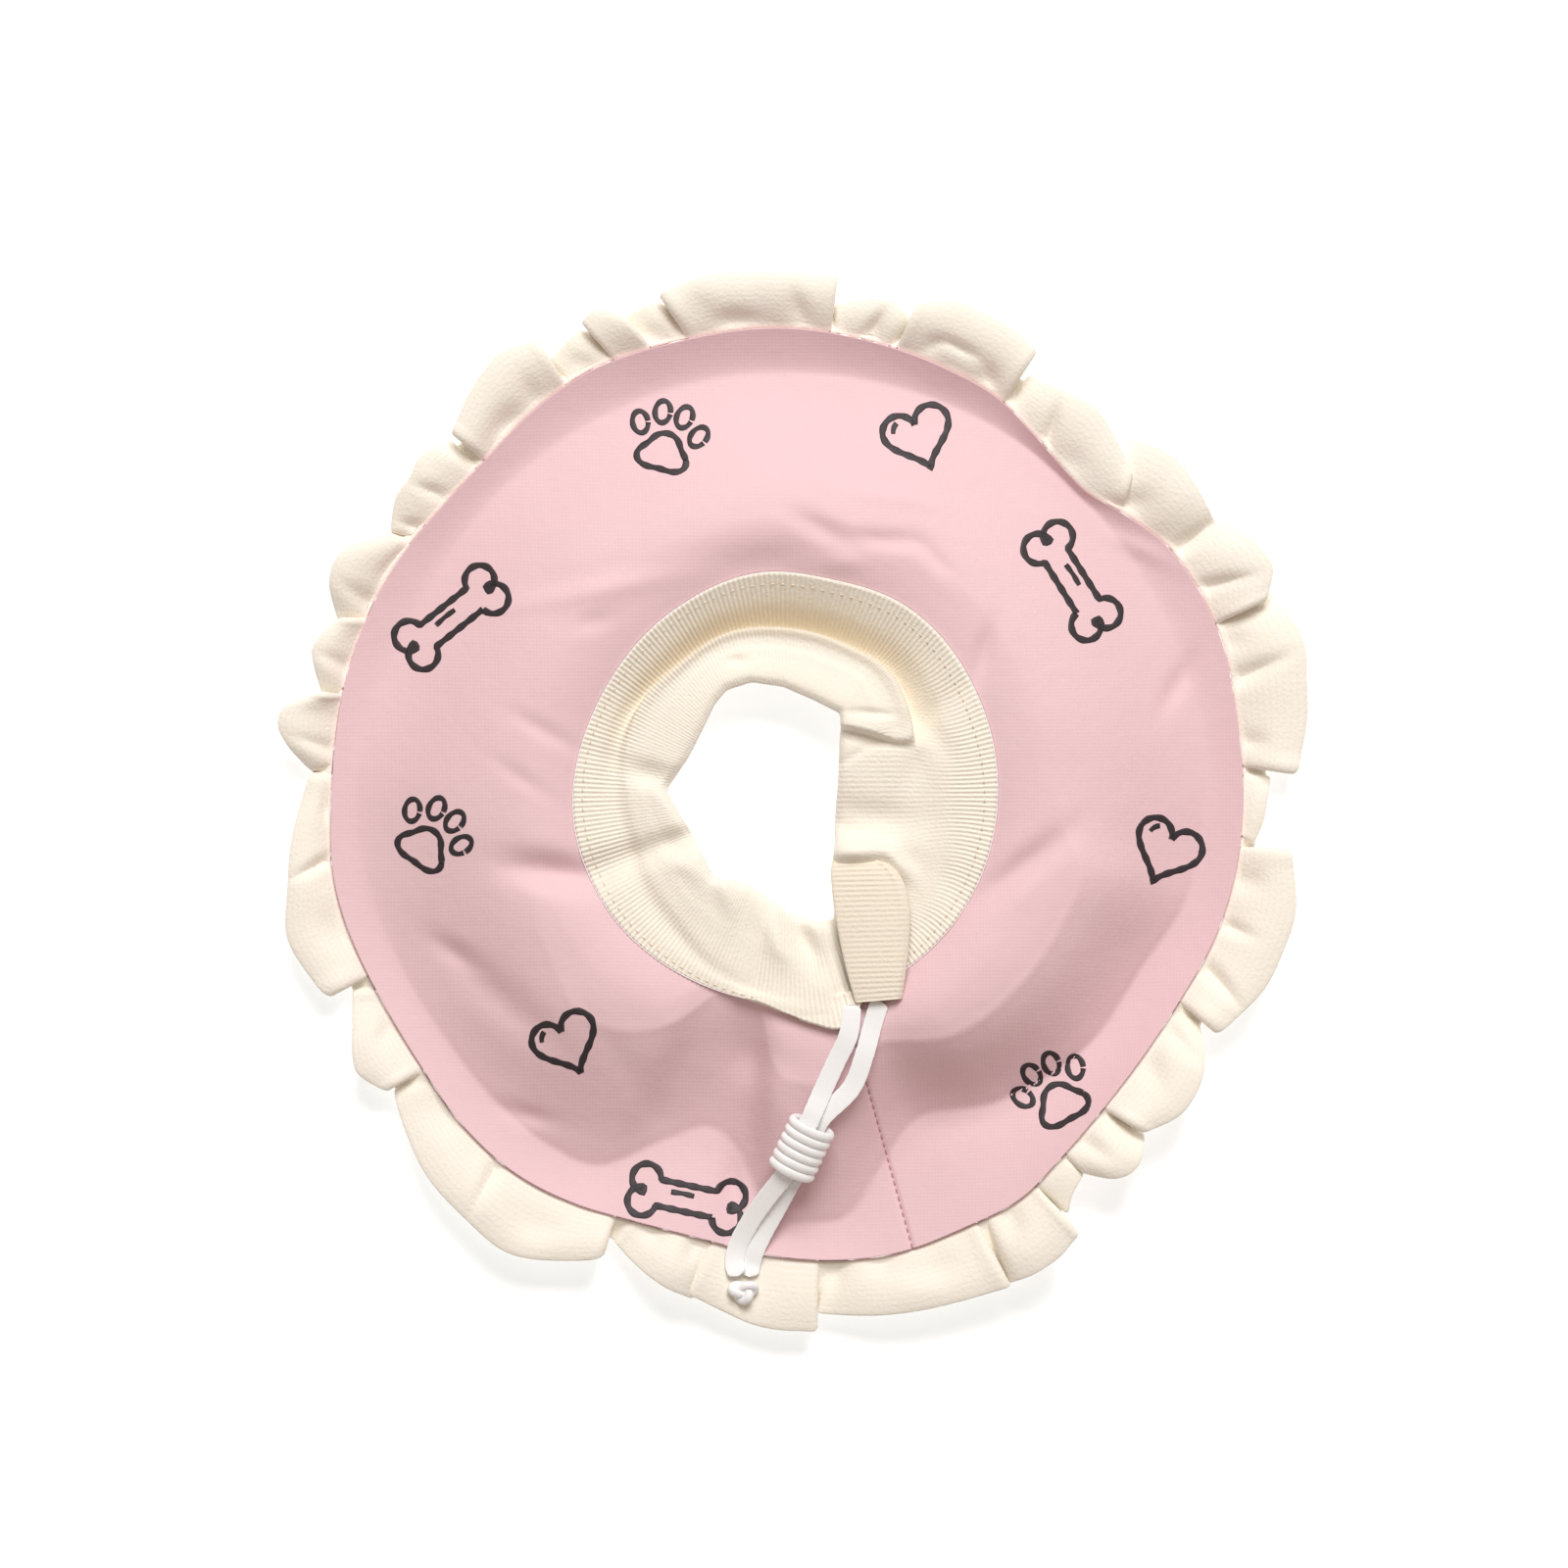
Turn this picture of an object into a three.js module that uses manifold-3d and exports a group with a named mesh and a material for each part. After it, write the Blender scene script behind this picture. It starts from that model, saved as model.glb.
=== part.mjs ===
// A soft recovery collar for a small pet, lying on a table with its neck side up: a padded cone panel,
// a gathered ruffle round the rim, a rib-knit neck cuff, and a flat elastic drawcord with a cord lock.
// Millimetres, +Z up. Angles are in degrees, counter-clockwise from +X; the drawcord comes out towards -Y.
import * as THREE from "three";
import { mergeVertices } from "three/addons/utils/BufferGeometryUtils.js";
import Module from "manifold-3d";

const wasm = await Module();
wasm.setup();

// Sizes of the cone panel: coneRise is how far its neck side stands above the band that it rests on
const rimRadius = 117;
const neckRadius = 55;
const coneRise = 16.5;
const padThickness = 6;

// Sizes of the ruffle
const ruffleWidth = 20;
const ruffleThickness = 1.8;
const ruffleRise = 4;

// Thickness of the neck cuff's folded knit
const cuffThickness = 2.6;

// Sizes of the drawcord, its lock and its knot
const cordWidth = 4.5;
const cordThickness = 1;
const lockLength = 14.8;
const lockWidth = 12.5;
const lockHeight = 8;
const lockRidges = 6;
const ridgeDepth = 0.9;
const knotWidth = 8.4;
const knotLength = 6.6;
const knotHeight = 4.4;

// Clearances between pieces that are sewn to, or lie on, each other, and round the cords in their slot
const seamGap = 0.3;
const slotGap = 0.5;

// The pink edge as seen from above: its radius as a share of rimRadius.
const rimOutline = [
  { at: 0, radius: 0.996 },
  { at: 24, radius: 1.011 },
  { at: 36, radius: 0.983 },
  { at: 47, radius: 0.931 },
  { at: 58, radius: 0.966 },
  { at: 70, radius: 0.995 },
  { at: 92, radius: 1.018 },
  { at: 118, radius: 1.019 },
  { at: 136, radius: 0.983 },
  { at: 155, radius: 0.996 },
  { at: 178, radius: 0.993 },
  { at: 193, radius: 1.006 },
  { at: 210, radius: 0.991 },
  { at: 233, radius: 1.012 },
  { at: 254, radius: 0.983 },
  { at: 270, radius: 1.009 },
  { at: 284, radius: 1.026 },
  { at: 300, radius: 1.014 },
  { at: 320, radius: 0.962 },
  { at: 345, radius: 0.987 },
];

// The neck seam as seen from above: its radius as a share of neckRadius.
const neckOutline = [
  { at: 0, radius: 0.977 },
  { at: 25, radius: 0.995 },
  { at: 60, radius: 1.036 },
  { at: 78, radius: 1.023 },
  { at: 97, radius: 1.041 },
  { at: 120, radius: 1.009 },
  { at: 150, radius: 0.977 },
  { at: 190, radius: 0.995 },
  { at: 215, radius: 0.982 },
  { at: 245, radius: 0.959 },
  { at: 290, radius: 0.973 },
  { at: 330, radius: 0.973 },
];

// The panel's section from the neck seam to the rim. across is the share of the way, rise is the height of
// its underside as a share of coneRise, and pad is its thickness as a share of padThickness.
const panelSection = [
  { across: 0, rise: 0.82, pad: 0.68 },
  { across: 0.05, rise: 0.87, pad: 0.86 },
  { across: 0.11, rise: 0.93, pad: 0.97 },
  { across: 0.2, rise: 0.98, pad: 1.02 },
  { across: 0.32, rise: 0.92, pad: 1.02 },
  { across: 0.45, rise: 0.75, pad: 1 },
  { across: 0.6, rise: 0.47, pad: 1 },
  { across: 0.74, rise: 0.18, pad: 1 },
  { across: 0.84, rise: 0, pad: 1.02 },
  { across: 0.91, rise: 0, pad: 1.12 },
  { across: 0.965, rise: 0.13, pad: 1.15 },
  { across: 1, rise: 0.25, pad: 0.5 },
];

// How high the cone's underside stands round the neck, as a share of its rise there.
const neckLift = [
  { at: 20, lift: 1 },
  { at: 75, lift: 0.97 },
  { at: 120, lift: 1.02 },
  { at: 180, lift: 0.96 },
  { at: 235, lift: 0.98 },
  { at: 283, lift: 0.88 },
  { at: 315, lift: 1.03 },
  { at: 345, lift: 1 },
];
const liftFadesFrom = 0.45;
const liftFadesTo = 0.8;

// Dents and creases of the panel. along and wide are half sizes as shares of the panel's width, turn is the
// long side's angle from the tangent, and deep is a share of padThickness; a crease that stands up has deep < 0.
const dents = [
  { at: 72, across: 0.13, along: 0.2, wide: 0.07, turn: 0, deep: 0.4 },
  { at: 104, across: 0.07, along: 0.25, wide: 0.08, turn: 0, deep: 0.3 },
  { at: 38, across: 0.14, along: 0.12, wide: 0.035, turn: 75, deep: 0.3 },
  { at: 133, across: 0.37, along: 0.38, wide: 0.04, turn: 35, deep: -0.2 },
  { at: 165, across: 0.15, along: 0.12, wide: 0.03, turn: 80, deep: 0.2 },
  { at: 201, across: 0.16, along: 0.14, wide: 0.05, turn: -40, deep: 0.45 },
  { at: 208, across: 0.62, along: 0.1, wide: 0.05, turn: -27, deep: 0.3 },
  { at: 240, across: 0.5, along: 0.3, wide: 0.12, turn: -20, deep: 0.35 },
  { at: 263, across: 0.72, along: 0.07, wide: 0.05, turn: 60, deep: 0.25 },
  { at: 318, across: 0.66, along: 0.5, wide: 0.12, turn: 11, deep: 0.5 },
  { at: 343, across: 0.12, along: 0.12, wide: 0.045, turn: 48, deep: 0.45 },
  { at: 14, across: 0.86, along: 0.1, wide: 0.03, turn: 80, deep: 0.15 },
  { at: 47, across: 0.97, along: 0.16, wide: 0.08, turn: 0, deep: 0.3 },
];

// The ruffle's folds that lie uppermost. from and to are the angles of a fold's two edges, near and far its
// reach there as shares of ruffleWidth, swell what the reach gains between them, and rise a share of
// ruffleRise. low and dip are the reach and the depth, as a share of the way down, of the hollow after it.
const folds = [
  { from: 4, to: 12, near: 0.7, far: 0.93, swell: 0.02, rise: 0.9, low: 0.95, dip: 0.15 },
  { from: 14.5, to: 22, near: 0.98, far: 0.78, swell: 0.06, rise: 1, low: 0.68, dip: 0.8 },
  { from: 24, to: 31.5, near: 0.8, far: 0.84, swell: 0.08, rise: 1, low: 0.6, dip: 0.5 },
  { from: 34.5, to: 46, near: 0.68, far: 0.85, swell: 0.1, rise: 0.9, low: 0.6, dip: 0.9 },
  { from: 48, to: 53, near: 0.64, far: 0.75, swell: 0.02, rise: 0.1, low: 0.56, dip: 0.8 },
  { from: 61, to: 75, near: 0.72, far: 0.72, swell: 0.06, rise: 1.1, low: 0.54, dip: 0.7 },
  { from: 84.7, to: 89, near: 0.7, far: 0.7, swell: 0.05, rise: 0.9, low: 0.64, dip: 0.3 },
  { from: 91.5, to: 104, near: 0.64, far: 0.6, swell: 0.13, rise: 1, low: 0.47, dip: 0.9 },
  { from: 109, to: 113.4, near: 0.57, far: 0.55, swell: 0.1, rise: 1, low: 0.35, dip: 0.9 },
  { from: 118.8, to: 132, near: 0.66, far: 0.55, swell: 0.15, rise: 1.1, low: 0.37, dip: 1 },
  { from: 134, to: 138, near: 0.52, far: 0.53, swell: 0.08, rise: 0.8, low: 0.5, dip: 0.2 },
  { from: 143, to: 146, near: 0.48, far: 0.32, swell: 0.02, rise: 0.5, low: 0.27, dip: 0.8 },
  { from: 147.8, to: 155, near: 0.42, far: 0.55, swell: 0.18, rise: 1, low: 0.27, dip: 0.8 },
  { from: 160, to: 164, near: 0.36, far: 0.42, swell: 0.09, rise: 0.8, low: 0.2, dip: 0.9 },
  { from: 168.3, to: 175, near: 0.48, far: 0.45, swell: 0.24, rise: 1, low: 0.24, dip: 0.8 },
  { from: 180, to: 187, near: 0.35, far: 0.55, swell: 0.04, rise: 0.7, low: 0.57, dip: 0.5 },
  { from: 189.5, to: 203, near: 0.56, far: 0.7, swell: 0.05, rise: 0.9, low: 0.2, dip: 1 },
  { from: 207, to: 216, near: 0.27, far: 0.6, swell: 0.05, rise: 0.7, low: 0.46, dip: 0.5 },
  { from: 218.5, to: 231, near: 0.44, far: 0.8, swell: 0.06, rise: 0.8, low: 0.8, dip: 0.15 },
  { from: 233, to: 247, near: 0.8, far: 0.63, swell: 0.13, rise: 0.9, low: 0.32, dip: 0.8 },
  { from: 250.5, to: 259, near: 0.35, far: 0.7, swell: 0.03, rise: 0.7, low: 0.66, dip: 0.8 },
  { from: 261.3, to: 272.3, near: 0.74, far: 0.9, swell: 0.05, rise: 0.9, low: 0.7, dip: 0.8 },
  { from: 274.6, to: 293, near: 0.66, far: 0.87, swell: 0.02, rise: 0.8, low: 0.8, dip: 0.7 },
  { from: 295.4, to: 303.5, near: 0.86, far: 0.78, swell: 0.06, rise: 0.8, low: 0.28, dip: 1 },
  { from: 308.7, to: 316, near: 0.45, far: 0.58, swell: 0.2, rise: 0.8, low: 0.52, dip: 0.6 },
  { from: 318, to: 325, near: 0.67, far: 0.7, swell: 0.08, rise: 0.9, low: 0.48, dip: 0.6 },
  { from: 331, to: 341.5, near: 0.62, far: 0.82, swell: 0.04, rise: 0.8, low: 0.82, dip: 0.4 },
  { from: 344, to: 353.7, near: 0.84, far: 0.62, swell: 0.06, rise: 0.9, low: 0.28, dip: 1 },
];

// The cuff round the neck, a row for each section. flare is how far its outer edge spreads past the seam and
// over is 1 where it lies on the panel, not against it. crease, roll and edge are the radii of its crease, of
// the top of its roll and of its gathered edge; these and flare are shares of neckRadius. creaseDrop,
// rollRise and edgeDrop are heights below or above the seam as shares of cuffThickness.
const cuffRows = [
  { at: 0, flare: 0, over: 0, crease: 0.75, creaseDrop: 0.4, roll: 0.5, rollRise: 0, edge: 0.26, edgeDrop: 0.8 },
  { at: 14, flare: 0, over: 0, crease: 0.75, creaseDrop: 0.4, roll: 0.5, rollRise: 0.2, edge: 0.28, edgeDrop: 0.8 },
  { at: 22, flare: 0, over: 0, crease: 0.72, creaseDrop: 0.8, roll: 0.5, rollRise: 0.3, edge: 0.3, edgeDrop: 0.8 },
  { at: 30, flare: 0, over: 0, crease: 0.71, creaseDrop: 1.5, roll: 0.58, rollRise: 1, edge: 0.33, edgeDrop: 0.4 },
  { at: 45, flare: 0, over: 0, crease: 0.76, creaseDrop: 1.7, roll: 0.63, rollRise: 1.1, edge: 0.41, edgeDrop: 0.6 },
  { at: 60, flare: 0, over: 0, crease: 0.78, creaseDrop: 1.7, roll: 0.66, rollRise: 0.9, edge: 0.47, edgeDrop: 0.9 },
  { at: 90, flare: 0, over: 0, crease: 0.8, creaseDrop: 1.7, roll: 0.68, rollRise: 0.8, edge: 0.52, edgeDrop: 1.1 },
  { at: 120, flare: 0, over: 0, crease: 0.81, creaseDrop: 1.5, roll: 0.68, rollRise: 0.6, edge: 0.55, edgeDrop: 1.1 },
  { at: 150, flare: 0, over: 0, crease: 0.82, creaseDrop: 1.1, roll: 0.67, rollRise: 0.6, edge: 0.5, edgeDrop: 1.1 },
  { at: 165, flare: 0, over: 0, crease: 0.835, creaseDrop: 1, roll: 0.7, rollRise: 0.3, edge: 0.52, edgeDrop: 1.1 },
  { at: 177, flare: 0, over: 0, crease: 0.835, creaseDrop: 1, roll: 0.7, rollRise: -0.4, edge: 0.575, edgeDrop: 1.3 },
  { at: 190, flare: 0, over: 0, crease: 0.83, creaseDrop: 1, roll: 0.67, rollRise: 0.4, edge: 0.52, edgeDrop: 1.1 },
  { at: 208, flare: 0, over: 0, crease: 0.81, creaseDrop: 0.9, roll: 0.67, rollRise: 0.6, edge: 0.49, edgeDrop: 1.1 },
  { at: 226, flare: 0, over: 0, crease: 0.8, creaseDrop: 0.7, roll: 0.66, rollRise: 0.3, edge: 0.51, edgeDrop: 1.2 },
  { at: 243, flare: 0, over: 0, crease: 0.81, creaseDrop: 0.5, roll: 0.65, rollRise: 0.8, edge: 0.46, edgeDrop: 0.8 },
  { at: 254, flare: 0, over: 0.3, crease: 0.84, creaseDrop: 0.2, roll: 0.67, rollRise: 0.9, edge: 0.47, edgeDrop: 0.6 },
  { at: 262, flare: 0, over: 1, crease: 0.86, creaseDrop: -0.2, roll: 0.69, rollRise: 0.8, edge: 0.49, edgeDrop: 0.6 },
  { at: 270, flare: 0.05, over: 1, crease: 0.88, creaseDrop: -0.6, roll: 0.72, rollRise: 0.4, edge: 0.55, edgeDrop: 0.9 },
  { at: 282, flare: 0.13, over: 1, crease: 0.93, creaseDrop: -1, roll: 0.8, rollRise: 0.6, edge: 0.59, edgeDrop: 0.9 },
  { at: 287, flare: 0.1, over: 1, crease: 0.91, creaseDrop: -0.8, roll: 0.8, rollRise: 0.4, edge: 0.59, edgeDrop: 0.9 },
  { at: 292, flare: 0, over: 1, crease: 0.85, creaseDrop: 0, roll: 0.75, rollRise: 0, edge: 0.56, edgeDrop: 1 },
  { at: 302, flare: 0, over: 0.2, crease: 0.82, creaseDrop: 0.2, roll: 0.6, rollRise: 0, edge: 0.4, edgeDrop: 0.9 },
  { at: 315, flare: 0, over: 0, crease: 0.8, creaseDrop: 0.1, roll: 0.52, rollRise: 0.4, edge: 0.31, edgeDrop: 0.7 },
  { at: 332, flare: 0, over: 0, crease: 0.76, creaseDrop: 0.4, roll: 0.48, rollRise: -0.4, edge: 0.27, edgeDrop: 1 },
  { at: 346, flare: 0, over: 0, crease: 0.75, creaseDrop: 0.4, roll: 0.5, rollRise: -0.6, edge: 0.26, edgeDrop: 1.1 },
];

// The end of the cuff that is folded down over its other end, a row for each section from the fold to where
// the drawcord comes out. leftX to rightY are shares of neckRadius from the collar's centre, and up is a
// height above the seam as a share of cuffThickness.
const tabRows = [
  { leftX: 0.205, leftY: -0.29, rightX: 0.4, rightY: -0.24, up: -0.3 },
  { leftX: 0.205, leftY: -0.345, rightX: 0.5, rightY: -0.34, up: 1.1 },
  { leftX: 0.23, leftY: -0.555, rightX: 0.575, rightY: -0.53, up: 1.35 },
  { leftX: 0.27, leftY: -0.74, rightX: 0.56, rightY: -0.72, up: 1.7 },
  { leftX: 0.31, leftY: -0.94, rightX: 0.53, rightY: -0.9, up: 2.2 },
];
const tabCrown = 0.35;

// The two strands of the drawcord, from the cuff through the lock to the knot.
const leftStrand = [
  [16.5, -52.8, 22.7],
  [15.6, -60.5, 23.0],
  [12.4, -67.5, 22.2],
  [8.9, -75.2, 21.8],
  [6.15, -81.5, 22.2],
  [3.75, -86.6, 20.3],
  [1.35, -91.8, 18.4],
  [-1.05, -96.9, 16.4],
  [-5.2, -102.4, 13.8],
  [-9.4, -108.6, 11.4],
  [-12.6, -115.0, 10.0],
  [-13.4, -119.2, 10.4],
  [-12.4, -122.4, 12.2],
];
const rightStrand = [
  [23.6, -52.0, 21.4],
  [21.6, -58.5, 21.2],
  [19.7, -65.5, 21.5],
  [16.4, -74.0, 20.9],
  [8.55, -82.05, 20.8],
  [6.15, -87.2, 18.8],
  [3.75, -92.3, 16.9],
  [1.35, -97.5, 14.9],
  [-2.4, -104.8, 11.6],
  [-6.0, -111.4, 9.9],
  [-8.4, -116.6, 9.6],
  [-9.3, -120.0, 9.4],
  [-9.7, -122.7, 10.5],
];
const lockCentre = [3.75, -89.5, 18.6];
const lockAxis = [-0.42, -0.9, -0.34];
const knotCentre = [-11.1, -126.3, 11.9];

const degree = Math.PI / 180;

// The cubic between the middle two of four knots, each [place, value].
function throughKnots([before, start, end, after], place) {
  const span = end[0] - start[0];
  const share = (place - start[0]) / span;
  const slopeIn = ((end[1] - before[1]) / (end[0] - before[0])) * span;
  const slopeOut = ((after[1] - start[1]) / (after[0] - start[0])) * span;
  const square = share * share;
  const cube = square * share;
  return (
    (2 * cube - 3 * square + 1) * start[1] +
    (cube - 2 * square + share) * slopeIn +
    (3 * square - 2 * cube) * end[1] +
    (cube - square) * slopeOut
  );
}

// A value from rows that go once round the collar, on a smooth closed curve through them.
function around(rows, column, angle) {
  const place = ((angle % 360) + 360) % 360;
  const found = rows.findIndex((row) => row.at > place);
  const next = found < 0 ? rows.length : found;
  const knots = [next - 2, next - 1, next, next + 1].map((index) => {
    const turn = Math.floor(index / rows.length);
    const row = rows[index - turn * rows.length];
    return [row.at + 360 * turn, row[column]];
  });
  return throughKnots(knots, place);
}

// A value of the panel's section at a share of the way from neck to rim, on a smooth curve through its rows.
function section(column, share) {
  const last = panelSection.length - 1;
  const found = panelSection.findIndex((row) => row.across > share);
  const next = found < 0 ? last : found;
  const knots = [next - 2, next - 1, next, next + 1].map((index) => {
    const inside = Math.min(last, Math.max(0, index));
    return [panelSection[inside].across + (index - inside), panelSection[inside][column]];
  });
  return throughKnots(knots, share);
}

function polar(radius, angle, height) {
  return new THREE.Vector3(radius * Math.cos(angle * degree), radius * Math.sin(angle * degree), height);
}

const rimAt = (angle) => rimRadius * around(rimOutline, "radius", angle);
const neckAt = (angle) => neckRadius * around(neckOutline, "radius", angle);

// How far the dents push the panel down at a place, the sum of a soft oval bump for each.
function dentAt(share, angle) {
  const width = rimRadius - neckRadius;
  const radius = neckRadius + share * width;
  let depth = 0;
  for (const dent of dents) {
    const turned = ((angle - dent.at + 540) % 360) - 180;
    const sideways = (turned * degree * radius) / width;
    const outward = share - dent.across;
    const cos = Math.cos(dent.turn * degree);
    const sin = Math.sin(dent.turn * degree);
    const along = (sideways * cos + outward * sin) / dent.along;
    const wide = (outward * cos - sideways * sin) / dent.wide;
    depth += dent.deep * Math.exp(-(along * along + wide * wide));
  }
  return depth * padThickness;
}

// The height of the panel's underside before it is dented.
function coneAt(share, angle) {
  const faded = THREE.MathUtils.smoothstep(share, liftFadesFrom, liftFadesTo);
  const lift = 1 + (around(neckLift, "lift", angle) - 1) * (1 - faded);
  return coneRise * section("rise", share) * lift;
}

function panelTop(share, angle) {
  return coneAt(share, angle) + padThickness * section("pad", share) - dentAt(share, angle);
}

function panelUnder(share, angle) {
  return Math.max(0, coneAt(share, angle) - Math.max(0, dentAt(share, angle)));
}

// The panel's top at a radius, for what lies on it.
function panelTopAt(radius, angle) {
  const share = (radius - neckAt(angle)) / (rimAt(angle) - neckAt(angle));
  return panelTop(THREE.MathUtils.clamp(share, 0, 1), angle);
}

// A closed surface through loops of points, with its faces pointing out. A ring's last loop joins its first;
// otherwise the two end loops are capped.
function loft(loops, isRing) {
  const size = loops[0].length;
  const points = loops.flat();
  const triangles = [];
  const bands = isRing ? loops.length : loops.length - 1;
  for (let band = 0; band < bands; band++) {
    for (let side = 0; side < size; side++) {
      const here = band * size;
      const there = ((band + 1) % loops.length) * size;
      const beside = (side + 1) % size;
      triangles.push([here + side, here + beside, there + beside], [here + side, there + beside, there + side]);
    }
  }
  if (!isRing) {
    const last = (loops.length - 1) * size;
    for (let side = 1; side < size - 1; side++) {
      triangles.push([0, side + 1, side], [last, last + side, last + side + 1]);
    }
  }
  const volume = triangles.reduce(
    (sum, [a, b, c]) => sum + points[a].dot(points[b].clone().cross(points[c])),
    0,
  );
  const faces = volume < 0 ? triangles.map(([a, b, c]) => [a, c, b]) : triangles;
  const geometry = new THREE.BufferGeometry().setFromPoints(points);
  geometry.setIndex(faces.flat());
  return geometry;
}

function solidOf(geometry) {
  const plain = geometry.clone();
  plain.deleteAttribute("normal");
  plain.deleteAttribute("uv");
  const merged = mergeVertices(plain, 1e-4);
  return new wasm.Manifold(
    new wasm.Mesh({
      numProp: 3,
      vertProperties: new Float32Array(merged.getAttribute("position").array),
      triVerts: new Uint32Array(merged.index.array),
    }),
  );
}

function geometryOf(solid) {
  const { numProp, vertProperties, triVerts } = solid.getMesh();
  const places = [];
  for (let index = 0; index < vertProperties.length; index += numProp) {
    places.push(...vertProperties.subarray(index, index + 3));
  }
  const geometry = new THREE.BufferGeometry();
  geometry.setAttribute("position", new THREE.Float32BufferAttribute(places, 3));
  geometry.setIndex(Array.from(triVerts));
  return geometry;
}

// A list of values made at equal angles round the collar.
function roundAbout(count, make) {
  return Array.from({ length: count }, (_, index) => make((index * 360) / count));
}

// The padded cone: its top has a point at each row of the section, its underside at fewer of them.
function conePanel() {
  const stations = 90;
  const topShares = panelSection.map((row) => row.across);
  const underShares = topShares.filter((_, index) => ![1, 2, 4, 6].includes(index)).reverse();
  const loops = roundAbout(stations, (angle) => {
    const radius = (share) => THREE.MathUtils.lerp(neckAt(angle), rimAt(angle), share);
    return [
      ...topShares.map((share) => polar(radius(share), angle, panelTop(share, angle))),
      ...underShares.map((share) => polar(radius(share), angle, panelUnder(share, angle))),
    ];
  });
  return loft(loops, true);
}

// The ruffle's ridge and hollow lines: for each, the angle where it leaves the seam, the angle where it ends
// at the free edge, its reach as a share of ruffleWidth and its height as a share of the way up or down.
function ruffleLines() {
  const crestPlaces = [0, 0.15, 0.4, 0.6, 0.85, 1];
  const hollowPlaces = [0.3, 0.7];
  const gather = 0.1;
  const shoulder = 0.7;
  return folds.flatMap((fold, index) => {
    const next = folds[(index + 1) % folds.length];
    const nextFrom = next.from + (index + 1 === folds.length ? 360 : 0);
    const span = fold.to - fold.from;
    const seamTo = fold.to - gather * span;
    const seamNext = nextFrom + gather * (next.to - next.from);
    const crest = crestPlaces.map((place) => {
      const bulge = 4 * place * (1 - place);
      return {
        seam: fold.from + (gather + (1 - 2 * gather) * place) * span,
        edge: fold.from + place * span,
        reach: THREE.MathUtils.lerp(fold.near, fold.far, place) + fold.swell * bulge,
        height: fold.rise * (shoulder + (1 - shoulder) * bulge),
      };
    });
    const hollow = hollowPlaces.map((place) => ({
      seam: THREE.MathUtils.lerp(seamTo, seamNext, place),
      edge: THREE.MathUtils.lerp(fold.to, nextFrom, place),
      reach: fold.low,
      height: -fold.dip,
    }));
    return [...crest, ...hollow];
  });
}

// The gathered ruffle: every line of it leaves the rim seam level and bends up or down towards its free edge.
function ruffle() {
  const rows = [0, 0.3, 0.65, 1];
  const bends = [0.1, 0.5, 0.87, 1];
  const steepest = 2.5;
  const lines = ruffleLines().map((line) => {
    const start = rimAt(line.seam) + seamGap;
    const level = (panelTop(1, line.seam) + panelUnder(1, line.seam)) / 2;
    const height = line.height * (line.height > 0 ? ruffleRise : level - ruffleThickness / 2);
    const seam = polar(start, line.seam, 0);
    const edge = polar(rimAt(line.edge) + seamGap + line.reach * ruffleWidth, line.edge, 0);
    return rows.map((row, index) => seam.clone().lerp(edge, row).setZ(level + bends[index] * height));
  });
  const loops = lines.map((line, index) => {
    const before = lines[(index + lines.length - 1) % lines.length];
    const after = lines[(index + 1) % lines.length];
    const sides = line.map((point, row) => {
      const along = after[row].clone().sub(before[row]);
      const slope = along.z / Math.hypot(along.x, along.y);
      const half = (ruffleThickness / 2) * Math.min(steepest, Math.hypot(1, slope));
      return {
        upper: point.clone().setZ(point.z + half),
        lower: point.clone().setZ(Math.max(0, point.z - half)),
      };
    });
    return [...sides.map((side) => side.upper), ...sides.map((side) => side.lower).reverse()];
  });
  return loft(loops, true);
}

// The cuff's section at an angle: over its top from the seam to the gathered edge and back under it.
function cuffSection(angle) {
  const at = (column) => around(cuffRows, column, angle);
  const inner = neckAt(angle) - seamGap;
  const level = panelTop(0, angle);
  const over = THREE.MathUtils.clamp(at("over"), 0, 1);
  const outer = inner + neckRadius * Math.max(0, at("flare"));
  const point = (radius, height) => new THREE.Vector2(radius, height);
  const start = point(outer, level + over * (cuffThickness + 2 * seamGap));
  const crease = point(neckRadius * at("crease"), level - cuffThickness * at("creaseDrop"));
  const roll = point(neckRadius * at("roll"), level + cuffThickness * at("rollRise"));
  const edge = point(neckRadius * at("edge"), level - cuffThickness * at("edgeDrop"));
  const bulge = 0.15 * cuffThickness;
  const between = (from, to, share) => from.clone().lerp(to, share).add(point(0, bulge));
  const curve = new THREE.SplineCurve([
    start,
    between(start, crease, 0.5),
    crease,
    between(crease, roll, 0.45),
    roll,
    between(roll, edge, 0.55),
    edge,
  ]);
  const steps = 8;
  const top = Array.from({ length: steps + 1 }, (_, step) => curve.getPoint(step / steps));
  const under = top.map((place, step) => {
    const tangent = curve.getTangent(step / steps);
    const below = place.clone().add(point(-tangent.y, tangent.x).multiplyScalar(cuffThickness));
    return point(Math.min(below.x, inner), below.y);
  });
  top.forEach((place, step) => {
    if (place.x > inner - seamGap) {
      const floor = panelTopAt(place.x, angle) + (over > 0 ? 2 * seamGap : 0);
      if (over > 0.5) {
        place.y = Math.max(place.y, floor + cuffThickness);
        under[step] = point(place.x, floor);
      }
    }
  });
  return [...top, ...under.filter((_, step) => step % 2 === 0).reverse()];
}

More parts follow.
